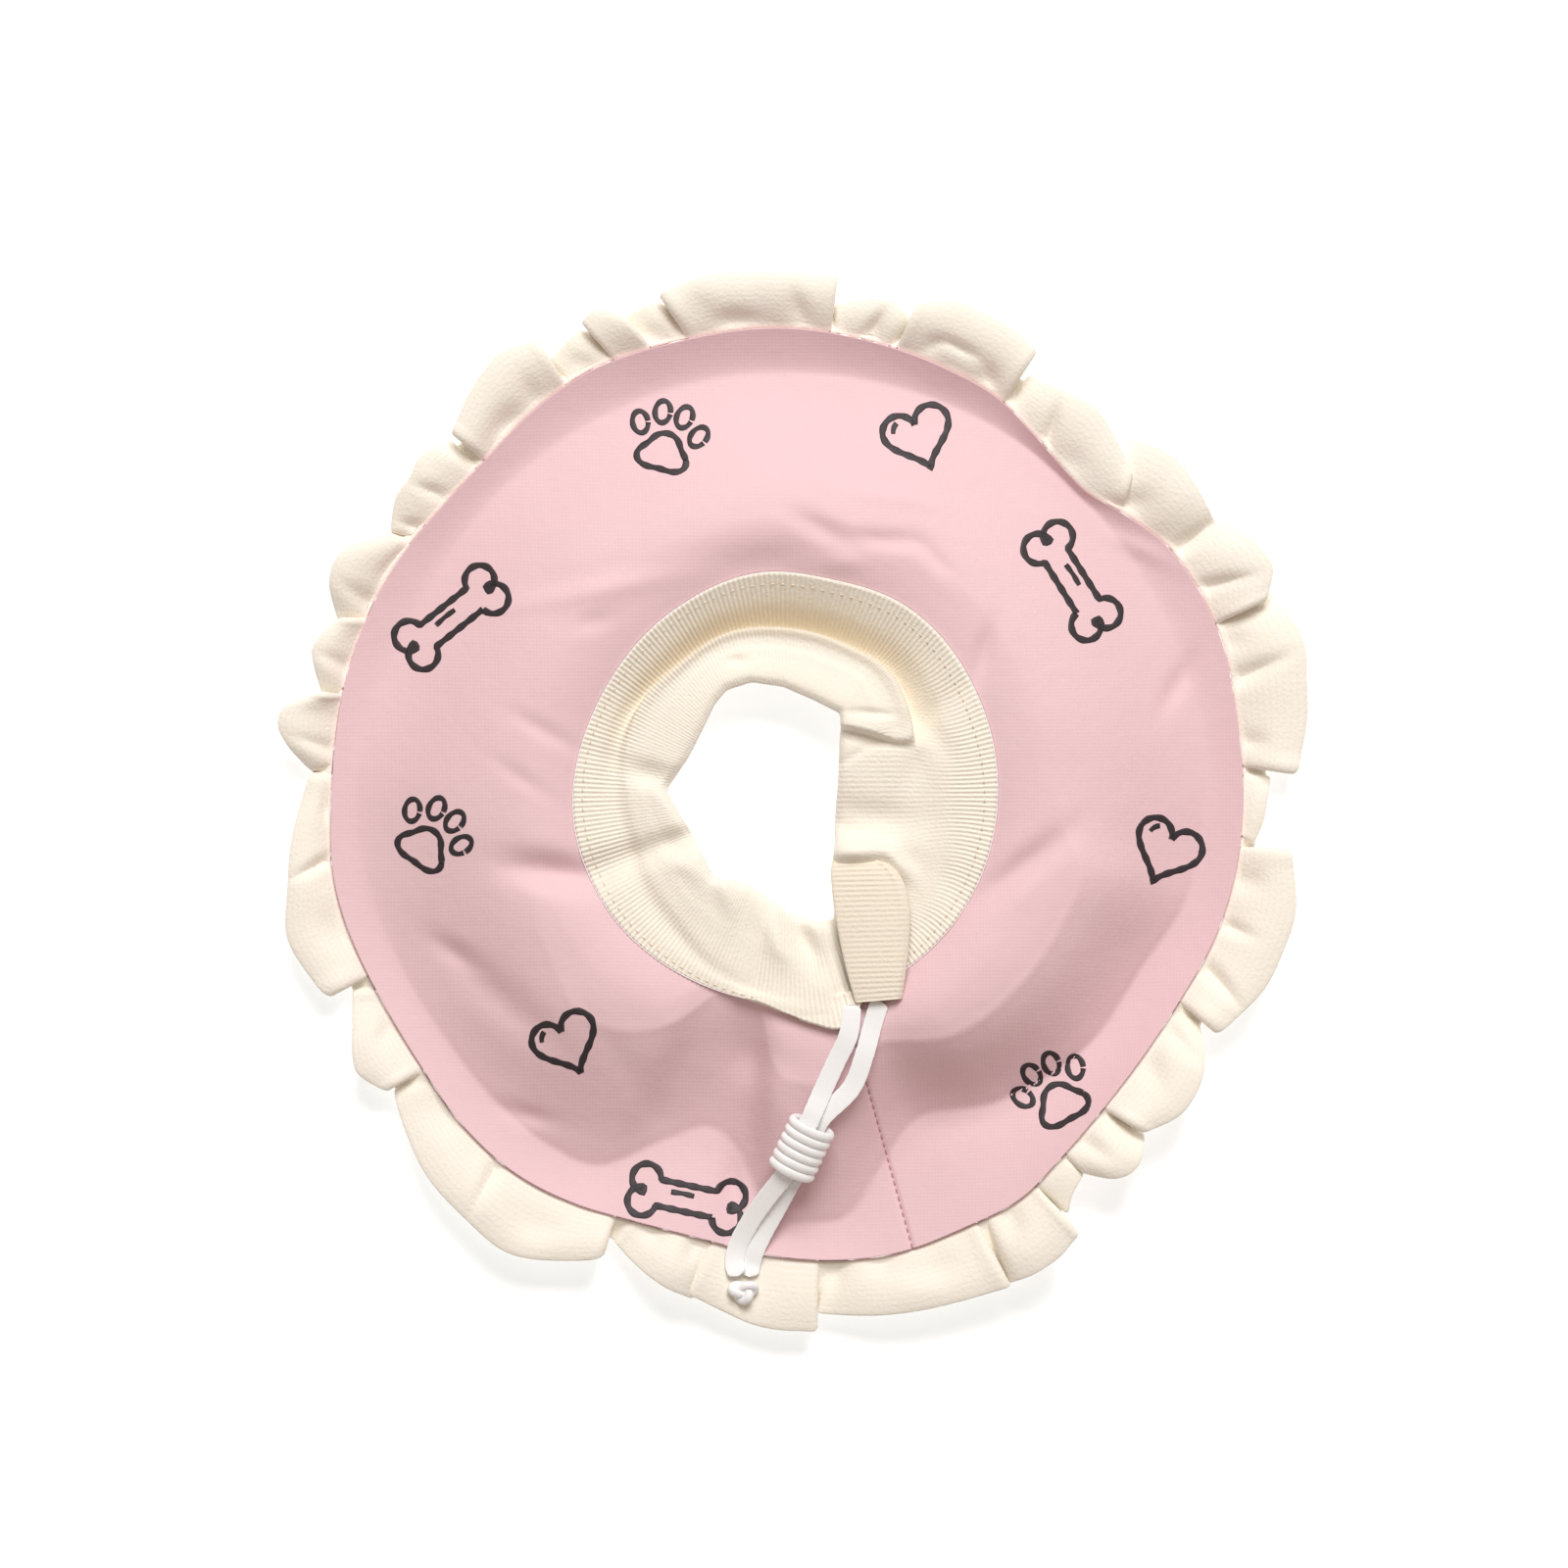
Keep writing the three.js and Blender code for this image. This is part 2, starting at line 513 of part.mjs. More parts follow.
// The folded-down end of the cuff: a crowned band between its left and right edges.
function cuffTab() {
  const level = panelTop(0, 285);
  const loops = tabRows.map((row) => {
    const left = new THREE.Vector3(row.leftX, row.leftY, 0).multiplyScalar(neckRadius);
    const right = new THREE.Vector3(row.rightX, row.rightY, 0).multiplyScalar(neckRadius);
    const point = (share, lift) =>
      left.clone().lerp(right, share).setZ(level + (row.up + lift) * cuffThickness);
    return [
      point(0, -0.4),
      point(0.2, 0.1),
      point(0.5, tabCrown),
      point(0.8, 0.1),
      point(1, -0.4),
      point(0.8, -1),
      point(0.5, -1),
      point(0.2, -1),
    ];
  });
  return loft(loops, false);
}

function neckCuff() {
  const stations = 90;
  const ring = loft(
    roundAbout(stations, (angle) => cuffSection(angle).map((place) => polar(place.x, angle, place.y))),
    true,
  );
  return geometryOf(solidOf(ring).add(solidOf(cuffTab())));
}

// A flat elastic strand: a strip with small bevels carried along its points.
function strand(points) {
  const route = new THREE.CatmullRomCurve3(points.map((place) => new THREE.Vector3(...place)));
  const wide = cordWidth / 2;
  const flat = cordThickness / 2;
  const bevel = 0.35 * cordThickness;
  const corners = [
    [-flat, -wide + bevel],
    [-flat + bevel, -wide],
    [flat - bevel, -wide],
    [flat, -wide + bevel],
    [flat, wide - bevel],
    [flat - bevel, wide],
    [-flat + bevel, wide],
    [-flat, wide - bevel],
  ];
  const outline = new THREE.Shape(corners.map(([x, y]) => new THREE.Vector2(x, y)));
  return new THREE.ExtrudeGeometry(outline, { steps: 22, extrudePath: route });
}

// The cord lock: a ridged barrel with an oval section and a slot for both strands along its own Y axis.
function cordLock() {
  const stepsPerRidge = 4;
  const steps = lockRidges * stepsPerRidge;
  const profile = [new THREE.Vector2(0, -lockLength / 2)];
  for (let step = 0; step <= steps; step++) {
    const ridge = Math.abs(Math.sin((Math.PI * step) / stepsPerRidge));
    const radius = lockWidth / 2 - ridgeDepth * (1 - ridge);
    profile.push(new THREE.Vector2(radius, lockLength * (step / steps - 0.5)));
  }
  profile.push(new THREE.Vector2(0, lockLength / 2));
  const barrel = new THREE.LatheGeometry(profile, 16);
  barrel.scale(1, 1, lockHeight / lockWidth);
  const slot = new THREE.BoxGeometry(cordWidth + 6 * slotGap, 2 * lockLength, 2 * cordThickness + 4 * slotGap);
  return geometryOf(solidOf(barrel).subtract(solidOf(slot)));
}

// The knot that joins the strands' ends.
function cordKnot() {
  const lump = new THREE.IcosahedronGeometry(0.5, 3);
  lump.scale(knotWidth, knotLength, knotHeight);
  return lump;
}

// The colours and surfaces of the fabrics and of the cord
const pinkFabric = { color: 0xf0d2d7, roughness: 0.7 };
const creamKnit = { color: 0xfaf3e1, roughness: 0.9 };
const whiteElastic = { color: 0xeeeeec, roughness: 0.8 };
const whitePlastic = { color: 0xeeeeec, roughness: 0.4 };

const collar = new THREE.Group();
function addPiece(name, geometry, finish) {
  const mesh = new THREE.Mesh(geometry, new THREE.MeshStandardMaterial(finish));
  mesh.name = name;
  collar.add(mesh);
  return mesh;
}

addPiece("cone_panel", conePanel(), pinkFabric);
addPiece("ruffle", ruffle(), creamKnit);
addPiece("neck_cuff", neckCuff(), creamKnit);

// The origin is on the table, under the middle of the collar without its drawcord.
const middle = new THREE.Box3().setFromObject(collar).getCenter(new THREE.Vector3());
collar.position.set(-middle.x, -middle.y, 0);

addPiece("drawcord_left", strand(leftStrand), whiteElastic);
addPiece("drawcord_right", strand(rightStrand), whiteElastic);
const lock = addPiece("cord_lock", cordLock(), whitePlastic);
const along = new THREE.Vector3(...lockAxis).normalize();
const sideways = new THREE.Vector3().crossVectors(along, new THREE.Vector3(0, 0, 1)).normalize();
const upwards = new THREE.Vector3().crossVectors(sideways, along);
lock.quaternion.setFromRotationMatrix(new THREE.Matrix4().makeBasis(sideways, along, upwards));
lock.position.set(...lockCentre);
const knot = addPiece("cord_knot", cordKnot(), whiteElastic);
knot.position.set(...knotCentre);

export default collar;
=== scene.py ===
import math

import bpy
import numpy as np
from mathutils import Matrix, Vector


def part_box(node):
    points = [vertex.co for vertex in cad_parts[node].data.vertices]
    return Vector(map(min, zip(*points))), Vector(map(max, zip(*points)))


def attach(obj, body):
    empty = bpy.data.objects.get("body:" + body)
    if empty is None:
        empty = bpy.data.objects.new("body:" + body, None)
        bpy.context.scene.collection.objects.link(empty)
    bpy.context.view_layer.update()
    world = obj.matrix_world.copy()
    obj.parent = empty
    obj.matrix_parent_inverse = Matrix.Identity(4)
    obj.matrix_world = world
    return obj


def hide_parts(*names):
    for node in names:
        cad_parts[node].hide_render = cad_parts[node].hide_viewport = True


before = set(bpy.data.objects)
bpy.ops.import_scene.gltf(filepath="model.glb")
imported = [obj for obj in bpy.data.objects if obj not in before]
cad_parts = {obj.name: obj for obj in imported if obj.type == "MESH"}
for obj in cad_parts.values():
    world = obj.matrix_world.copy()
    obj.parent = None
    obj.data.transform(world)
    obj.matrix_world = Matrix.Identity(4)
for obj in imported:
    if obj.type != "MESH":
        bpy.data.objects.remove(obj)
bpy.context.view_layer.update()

# The collar is worked out in millimetres about the middle of its cone, with angles in degrees from +X,
# counter-clockwise seen from above. It lies with its neck side up, and its drawcord comes out towards -Y.
MM = 0.001
# The play between two pieces at a seam.
SEAM_GAP = 0.3
LOCK_CENTRE = np.array([3.75, -89.5, 18.6])
LOCK_AXIS = np.array([-0.42, -0.9, -0.34])
KNOT_CENTRE = np.array([-11.1, -126.3, 11.9])

lock_low, lock_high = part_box("cord_lock")
CONE_MIDDLE = (np.array(lock_low) + np.array(lock_high)) / 2 / MM - LOCK_CENTRE
CONE_MIDDLE[2] = 0


def table(columns, rows):
    """Rows of numbers under named columns."""
    return np.array(rows, dtype=[(name, float) for name in columns.split()])


def smooth_between(places, values, wanted):
    """Cubic curve through values at places, each slope taken from the two neighbours."""
    slopes = np.gradient(values, places)
    index = np.clip(np.searchsorted(places, wanted, side="right") - 1, 0, len(places) - 2)
    span = places[index + 1] - places[index]
    share = (wanted - places[index]) / span
    square = share * share
    cube = square * share
    return (
        (2 * cube - 3 * square + 1) * values[index]
        + (cube - 2 * square + share) * span * slopes[index]
        + (3 * square - 2 * cube) * values[index + 1]
        + (cube - square) * span * slopes[index + 1]
    )


def around(rows, column, angle):
    """A column of a table that goes once round the collar, at any angles."""
    places = np.concatenate([rows["at"][-3:] - 360, rows["at"], rows["at"][:3] + 360])
    values = np.concatenate([rows[column][-3:], rows[column], rows[column][:3]])
    return smooth_between(places, values, np.mod(angle, 360))


def ease(value, start, end):
    """0 below start, 1 above end, and a smooth step between."""
    share = np.clip((value - start) / (end - start), 0, 1)
    return share * share * (3 - 2 * share)


def noise_wave(seed, count, lowest, highest):
    """Phases, frequencies and weights of a few sine waves, the same on each run."""
    random = np.random.default_rng(seed)
    frequency = random.integers(lowest, highest, count)
    return list(zip(frequency, random.uniform(0, 2 * np.pi, count), random.uniform(0.5, 1, count)))


def wave_sum(waves, angle):
    """The sum of whole-numbered waves round the collar, about -1 to 1."""
    total = sum(weight * np.sin(np.radians(angle) * times + phase) for times, phase, weight in waves)
    return total / len(waves)


def unit(vectors):
    """Vectors divided by their lengths."""
    return vectors / np.linalg.norm(vectors, axis=-1, keepdims=True)


def run_along(line):
    """The distance along a line from its first point to each of its points."""
    return np.concatenate([[0], np.cumsum(np.linalg.norm(np.diff(line, axis=0), axis=1))])


def run_across(points):
    """The mean distance round a grid's closed section to each of its columns, and back to the first."""
    spans = np.linalg.norm(np.diff(points, axis=1, append=points[:, :1]), axis=2)
    return np.concatenate([[0], np.cumsum(spans.mean(axis=0))])


def polar(radius, angle, height):
    """Points from radii, angles and heights."""
    turn = np.radians(angle)
    return np.stack(np.broadcast_arrays(radius * np.cos(turn), radius * np.sin(turn), height), axis=-1)


def turned(points, angle):
    """Points of a plane turned about its origin."""
    cosine, sine = math.cos(angle), math.sin(angle)
    return points @ np.array([[cosine, -sine], [sine, cosine]]).T


def bell(from_x, from_y, heading, dent):
    """A dent's depth at distances from its middle: a bell curve along its heading times one across it."""
    along = (from_x * math.cos(heading) + from_y * math.sin(heading)) / dent["along"]
    wide = (from_y * math.cos(heading) - from_x * math.sin(heading)) / dent["wide"]
    return dent["deep"] * np.exp(-(along**2) - wide**2)


# Camera, light and floor

# In metres: the side of the photograph's frame at the viewed height, and the camera's own height. Then the
# frame's middle, in millimetres from the cone's.
PHOTO_SIDE = 0.4
VIEWED_HEIGHT = 0.01
CAMERA_HEIGHT = 2.0
PHOTO_MIDDLE = np.array([-0.75, 3.0, 0])
WINDOW_PLACE = (0.15, 1.12, 1.4)
WINDOW_SIDE = 0.9
WINDOW_POWER = 28.5
ROOM_COLOUR = (1.0, 0.86, 0.77, 1)
ROOM_STRENGTH = 0.38
FLOOR_HALF = 4
FLOOR_COLOUR = (0.9, 0.9, 0.9, 1)
FLOOR_GLOW = (0.9, 0.97, 1, 1)


def make_camera():
    """A camera straight above the middle of the photograph's frame."""
    camera = bpy.data.objects.new("camera", bpy.data.cameras.new("camera"))
    bpy.context.scene.collection.objects.link(camera)
    spot = (PHOTO_MIDDLE + CONE_MIDDLE) * MM
    camera.location = (spot[0], spot[1], CAMERA_HEIGHT)
    camera.data.angle = 2 * math.atan(PHOTO_SIDE / 2 / (CAMERA_HEIGHT - VIEWED_HEIGHT))
    bpy.context.scene.camera = camera


def make_window():
    """A square soft light on the far side, turned to the collar."""
    lamp = bpy.data.lights.new("window", "AREA")
    lamp.energy = WINDOW_POWER
    lamp.size = WINDOW_SIDE
    light = bpy.data.objects.new("window", lamp)
    bpy.context.scene.collection.objects.link(light)
    light.location = WINDOW_PLACE
    toward = -np.array(WINDOW_PLACE)
    light.rotation_euler = (
        math.atan2(math.hypot(toward[0], toward[1]), -toward[2]),
        0,
        math.atan2(toward[1], toward[0]) - math.pi / 2,
    )


def make_surroundings():
    """A pale floor, one large soft light from the far side and a weak one all round."""
    scene = bpy.context.scene
    scene.view_settings.view_transform = "Standard"
    world = bpy.data.worlds.new("studio")
    world.use_nodes = True
    background = world.node_tree.nodes["Background"]
    background.inputs["Color"].default_value = ROOM_COLOUR
    background.inputs["Strength"].default_value = ROOM_STRENGTH
    scene.world = world
    make_window()
    mesh = bpy.data.meshes.new("floor")
    corners = [(x * FLOOR_HALF, y * FLOOR_HALF, 0) for x, y in ((-1, -1), (1, -1), (1, 1), (-1, 1))]
    mesh.from_pydata(corners, [], [(0, 1, 2, 3)])
    floor = bpy.data.objects.new("floor", mesh)
    scene.collection.objects.link(floor)
    paper = Finish("pale_paper")
    mesh.materials.append(
        paper.finish(Base_Color=FLOOR_COLOUR, Roughness=0.9, Emission_Color=FLOOR_GLOW, Emission_Strength=0.5)
    )


# Materials


class Finish:
    """A node material under construction: makes nodes, links them and ends in its principled shader."""

    def __init__(self, name):
        self.material = bpy.data.materials.new(name)
        self.material.use_nodes = True
        self.tree = self.material.node_tree
        self.shader = self.tree.nodes["Principled BSDF"]

    def node(self, kind, settings=None, **inputs):
        """A node of a kind with its settings, and its inputs linked or set by name or by number."""
        made = self.tree.nodes.new(kind)
        for key, value in (settings or {}).items():
            setattr(made, key, value)
        for key, value in inputs.items():
            name = int(key[1:]) if key[1:].isdigit() else key.replace("_", " ")
            self.feed(made.inputs[name], value)
        return made

    def feed(self, socket, value):
        """Links a value's socket to another, or sets a plain value on it."""
        if isinstance(value, bpy.types.NodeSocket):
            self.tree.links.new(value, socket)
        else:
            socket.default_value = value

    def object_place(self):
        """Places in the object's own metres."""
        return self.node("ShaderNodeTexCoord").outputs["Object"]

    def uv_place(self):
        """Metres along and across the piece's cloth."""
        return self.node("ShaderNodeUVMap", {"uv_map": "cloth"}).outputs["UV"]

    def noise(self, place, scale, detail):
        """Cloudy noise from 0 to 1, with about scale spots to the metre."""
        made = self.node("ShaderNodeTexNoise", Vector=place, Scale=scale, Detail=detail)
        return made.outputs["Fac"]

    def maths(self, kind, first, second=0.0):
        """One sum or function of its values."""
        return self.node("ShaderNodeMath", {"operation": kind}, _0=first, _1=second).outputs[0]

    def stripes(self, kind, place, pitch):
        """A sine or cosine from -1 to 1 of a place in metres, its pitch in millimetres."""
        return self.maths(kind, self.maths("MULTIPLY", place, 2 * math.pi * 1000 / pitch))

    def mix(self, share, first, second):
        """The first colour with a share of the second."""
        made = self.node("ShaderNodeMix", {"data_type": "RGBA"})
        self.feed(made.inputs[0], share)
        self.feed(made.inputs[6], first)
        self.feed(made.inputs[7], second)
        return made.outputs[2]

    def range(self, value, low, high, to_low, to_high):
        """A value carried from one range to another and held at its ends."""
        made = self.node("ShaderNodeMapRange", Value=value)
        for name, number in zip(("From Min", "From Max", "To Min", "To Max"), (low, high, to_low, to_high)):
            made.inputs[name].default_value = number
        return made.outputs[0]

    def bump(self, height, distance, strength, under=None):
        """A normal bent by a height of so many metres, on top of the relief under it."""
        made = self.node("ShaderNodeBump", Height=height, Distance=distance, Strength=strength)
        if under is not None:
            self.feed(made.inputs["Normal"], under)
        return made.outputs["Normal"]

    def finish(self, **inputs):
        """Feeds the shader's named inputs and hands back the material."""
        for key, value in inputs.items():
            self.feed(self.shader.inputs[key.replace("_", " ")], value)
        return self.material


def linear(red, green, blue):
    """A colour given in display values from 0 to 255, as the shader's linear colour."""
    parts = np.array([red, green, blue]) / 255
    return (*(np.where(parts > 0.04045, ((parts + 0.055) / 1.055) ** 2.4, parts / 12.92)), 1.0)


def make_pink_fabric():
    """Smooth plain-woven fabric: crossed threads finer than half a millimetre, faint uneven colour and soft
    sheen."""
    deep, pale, dull = linear(236, 202, 207), linear(245, 216, 221), linear(231, 193, 198)
    pink = Finish("pink_weave")
    place = pink.object_place()
    across, along = (
        pink.node(
            "ShaderNodeTexWave",
            {"wave_type": "BANDS", "bands_direction": way},
            Vector=place,
            Scale=900.0,
            Distortion=1.5,
            Detail=1.0,
        ).outputs["Fac"]
        for way in ("X", "Y")
    )
    weave = pink.maths("MULTIPLY", across, along)
    slubs = pink.noise(place, scale=260.0, detail=3.0)
    drift = pink.noise(place, scale=14.0, detail=3.0)
    threads = pink.mix(pink.range(weave, 0, 1, 0.0, 0.35), deep, pale)
    uneven = pink.mix(pink.range(drift, 0.35, 0.7, 0.0, 0.35), threads, dull)
    rough = pink.range(slubs, 0.3, 0.7, 0.5, 0.62)
    fine = pink.bump(weave, distance=0.00012, strength=0.5)
    puckered = pink.bump(slubs, distance=0.0003, strength=0.35, under=fine)
    creases = pink.noise(place, scale=42.0, detail=4.0)
    uneven_surface = pink.bump(creases, distance=0.0016, strength=0.3, under=puckered)
    return pink.finish(
        Base_Color=uneven,
        Roughness=rough,
        Normal=uneven_surface,
        Sheen_Weight=0.25,
        Sheen_Roughness=0.4,
        Sheen_Tint=(1.0, 0.9, 0.92, 1.0),
        Specular_IOR_Level=0.3,
    )


# The pitch of the knit's loops along a rib, in millimetres. In metres across the cuff's cloth from its outer
# edge: where its band ends and its roll starts, and where the painted shade along its crease starts, where it
# is deepest from and to, and where it ends. In metres of the frame: where that painted shade comes in on the
# far half of the ring.
LOOP_PITCH = 0.55
BAND_END, ROLL_START = 0.013, 0.018
PAINTED_SHADE_START, PAINTED_SHADE_FROM, PAINTED_SHADE_TO, PAINTED_SHADE_END = 0.003, 0.0135, 0.0165, 0.022
PAINTED_SHADE_FAR_FROM, PAINTED_SHADE_FAR_TO = 0.006, 0.042


def make_knit(name, rib_way, rib_pitch, rib_depth, groove, yarn, inner=1.0, crease=0.0):
    """Cream knit: rounded ribs a pitch apart, counted along or across the cloth, with painted shade in
    the grooves between them, small loops on them and a little fuzz. On the roll the grooves keep the inner
    share of their painted shade. Along the crease, between band and roll on the far half of the ring, a
    share of brownish painted shade is added, where the band slopes down away from the lamp."""
    groove_shade, pale, fleck = linear(212, 196, 162), linear(250, 243, 228), linear(224, 212, 186)
    painted_crease_shade = linear(216, 198, 164)
    knit = Finish(name)
    split = knit.node("ShaderNodeSeparateXYZ", Vector=knit.uv_place())
    rib_place, loop_place = (split.outputs[way] for way in (rib_way, "XY".replace(rib_way, "")))
    wave = knit.stripes("COSINE", rib_place, rib_pitch)
    loops = knit.stripes("COSINE", loop_place, LOOP_PITCH)
    ribs = knit.range(wave, -1, 1, 0, 1)
    stitches = knit.maths("MULTIPLY", ribs, knit.range(loops, -1, 1, 0.75, 1))
    place = knit.object_place()
    fuzz = knit.noise(place, scale=1100.0, detail=4.0)
    drift = knit.noise(place, scale=25.0, detail=2.0)
    # Painted shade: groove_shade darkens the grooves between the ribs by the groove share, and on the roll by
    # the inner share of that.
    inward = knit.range(split.outputs["Y"], BAND_END, ROLL_START, 1, inner)
    groove_shade_share = knit.maths("MULTIPLY", knit.range(ribs, 0, 0.6, groove, 0), inward)
    ribs_with_painted_shade = knit.mix(groove_shade_share, yarn, groove_shade)
    uneven = knit.mix(knit.range(drift, 0.35, 0.7, 0, 0.3), ribs_with_painted_shade, pale)
    flecked_with_painted_shade = knit.mix(knit.range(fuzz, 0.3, 0.75, 0.1, 0), uneven, fleck)
    # Painted shade: a brownish darkening along the crease between band and roll, on the far half of the ring
    # where the band slopes down away from the lamp; crease sets how strong it is.
    if crease:
        into_painted_shade = knit.range(split.outputs["Y"], PAINTED_SHADE_START, PAINTED_SHADE_FROM, 0, crease)
        out_of_painted_shade = knit.range(split.outputs["Y"], PAINTED_SHADE_TO, PAINTED_SHADE_END, 1, 0)
        northing = knit.node("ShaderNodeSeparateXYZ", Vector=place).outputs["Y"]
        painted_shade_half = knit.range(northing, PAINTED_SHADE_FAR_FROM, PAINTED_SHADE_FAR_TO, 0, 1)
        deep = knit.maths("MULTIPLY", knit.maths("MULTIPLY", into_painted_shade, out_of_painted_shade), painted_shade_half)
        flecked_with_painted_shade = knit.mix(deep, flecked_with_painted_shade, painted_crease_shade)
    raised = knit.bump(stitches, distance=rib_depth, strength=0.9)
    hairy = knit.bump(fuzz, distance=0.0004, strength=0.55, under=raised)
    return knit.finish(
        Base_Color=flecked_with_painted_shade,
        Roughness=0.85,
        Normal=hairy,
        Sheen_Weight=0.2,
        Sheen_Roughness=0.6,
        Specular_IOR_Level=0.2,
    )


def make_elastic():
    """Flat white braided elastic: fine cords along it, crossed by a finer slant."""
    shaded, lit = linear(246, 246, 246), linear(254, 254, 254)
    elastic = Finish("white_elastic_braid")
    uv = elastic.node("ShaderNodeSeparateXYZ", Vector=elastic.uv_place())
    cords = elastic.stripes("SINE", uv.outputs["Y"], 0.55)
    slant = elastic.maths("ADD", uv.outputs["X"], uv.outputs["Y"])
    braid = elastic.stripes("SINE", slant, 0.7)
    height = elastic.maths("ADD", cords, elastic.maths("MULTIPLY", braid, 0.6))
    return elastic.finish(
        Base_Color=elastic.mix(elastic.range(height, -1.6, 1.6, 0, 1), shaded, lit),
        Roughness=0.75,
        Normal=elastic.bump(height, distance=0.00004, strength=0.5),
        Sheen_Weight=0.15,
        Specular_IOR_Level=0.3,
    )


def make_plain(name, colour, roughness):
    """A plain surface with a fine grain in its colour and height."""
    plain = Finish(name)
    speckle = plain.noise(plain.object_place(), scale=400.0, detail=3.0)
    darker = tuple(0.86 * part for part in colour[:3]) + (1.0,)
    return plain.finish(
        Base_Color=plain.mix(plain.range(speckle, 0.3, 0.7, 0, 0.6), colour, darker),
        Roughness=plain.range(speckle, 0.3, 0.7, roughness - 0.05, roughness + 0.05),
        Normal=plain.bump(speckle, distance=0.00005, strength=0.5),
    )


# Putting surfaces into meshes


def grid_quads(rows, columns, ring_rows=True, ring_columns=True):
    """The four-cornered faces of a grid of points; a ring joins its last row or column to its first."""
    row = np.arange(rows if ring_rows else rows - 1)[:, None]
    column = np.arange(columns if ring_columns else columns - 1)[None, :]
    next_row = (row + 1) % rows
    next_column = (column + 1) % columns
    corners = [row * columns + column, next_row * columns + column]
    corners += [next_row * columns + next_column, row * columns + next_column]
    return np.stack(np.broadcast_arrays(*corners), axis=-1).reshape(-1, 4)


def volume_of(points, quads):
    """Six times the signed volume inside four-cornered faces."""
    first, second, third, fourth = (points[quads[:, corner]] for corner in range(4))
    lower = np.einsum("ij,ij->i", first, np.cross(second, third)).sum()
    return lower + np.einsum("ij,ij->i", first, np.cross(third, fourth)).sum()


def add_piece(name, points, quads, material, replaced=(), cloth=None):
    """An object from points in millimetres about the cone's middle. cloth holds each face corner's place on
    the cloth, in metres along and across it."""
    points = points.reshape(-1, 3)
    if volume_of(points, quads) < 0:
        quads = quads[:, ::-1]
        cloth = None if cloth is None else cloth[:, ::-1]
    mesh = bpy.data.meshes.new(name)
    mesh.from_pydata(((points + CONE_MIDDLE) * MM).tolist(), [], quads.tolist())
    mesh.polygons.foreach_set("use_smooth", np.ones(len(quads), dtype=bool))
    if cloth is not None:
        layer = mesh.uv_layers.new(name="cloth")
        layer.data.foreach_set("uv", np.ascontiguousarray(cloth, dtype=np.float32).ravel())
    mesh.materials.append(material)
    mesh.update()
    piece = bpy.data.objects.new(name, mesh)
    bpy.context.scene.collection.objects.link(piece)
    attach(piece, "root")
    if replaced:
        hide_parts(*replaced)
    return piece


def grid_cloth(along, across):
    """Each face corner's place on the cloth for a grid whose lines lie at along (one more than the rows of
    faces, the same all across or a value for each crossing) and at across (one more than the columns), both
    in millimetres."""
    along = np.asarray(along)
    along = along[:, None] if along.ndim == 1 else along
    places = np.stack(np.broadcast_arrays(along, across[None]), axis=-1)
    corners = [places[:-1, :-1], places[1:, :-1], places[1:, 1:], places[:-1, 1:]]
    return np.stack(corners, axis=2).reshape(-1, 4, 2) * MM


def close_ends(points, quads, cloth=None):
    """Closes a tube's two small end loops with four-cornered faces between their opposite sides."""
    rows, sides = points.shape[:2]
    step = np.arange(sides // 2 - 1)
    last = np.stack([step, step + 1, (sides - 2 - step), (sides - 1 - step)], axis=-1)
    caps = np.concatenate([last[:, ::-1], last + (rows - 1) * sides])
    if cloth is not None:
        cloth = np.concatenate([cloth, np.zeros((len(caps), 4, 2))])
    return points.reshape(-1, 3), np.concatenate([quads, caps]), cloth


def section_at(across, upper, right, up):
    """A section's points at each place of a line, from its width and height along two directions."""
    return right[None, :, None] * across[:, None] + up[None, :, None] * upper[:, None]


def superellipse(turn, half_width, half_height, power):
    """A rounded oblong's width and height: a cosine and a sine to a power below 1, each with its sign."""
    right = half_width * np.sign(np.cos(turn)) * np.abs(np.cos(turn)) ** power
    up = half_height * np.sign(np.sin(turn)) * np.abs(np.sin(turn)) ** power
    return right, up


def flat_frames(ahead):
    """The way across a strip that lies flat and its upper side, from the way along it."""
    along = unit(ahead)
    across = unit(np.cross(along, (0, 0, 1)))
    return across, np.cross(across, along)


def even_points(places, columns, fine, steps, endpoint=True):
    """Even points on the cubic curve through given ones, whose first three columns are places in space and
    the others follow along, and the curve's length."""
    dense = np.stack([smooth_between(places, column, fine) for column in columns.T], axis=-1)
    run = run_along(dense[:, :3])
    even = np.linspace(0, run[-1], steps, endpoint=endpoint)
    return np.stack([np.interp(even, run, column) for column in dense.T], axis=-1), run[-1]


def root_places(points):
    """Places along a curve for its points, spaced by the square roots of the distances between them, which
    keeps a curve through uneven points from overshooting."""
    spans = np.sqrt(np.linalg.norm(np.diff(points[:, :3], axis=0), axis=1))
    return np.concatenate([[0], np.cumsum(spans)])


def surface_normals(points, ring_rows, ring_columns):
    """Unit normals of a grid of points, from the differences between neighbours both ways."""

    def difference(axis, ring):
        if ring:
            return np.roll(points, -1, axis) - np.roll(points, 1, axis)
        return np.gradient(points, axis=axis)

    normal = np.cross(difference(0, ring_rows), difference(1, ring_columns))
    return normal / np.maximum(np.linalg.norm(normal, axis=-1, keepdims=True), 1e-9)


# The drawcord

# The elastic's thickness, and its width as it lies pressed flat.
CORD_THICKNESS = 0.9
STRIP_WIDTH = 4.9

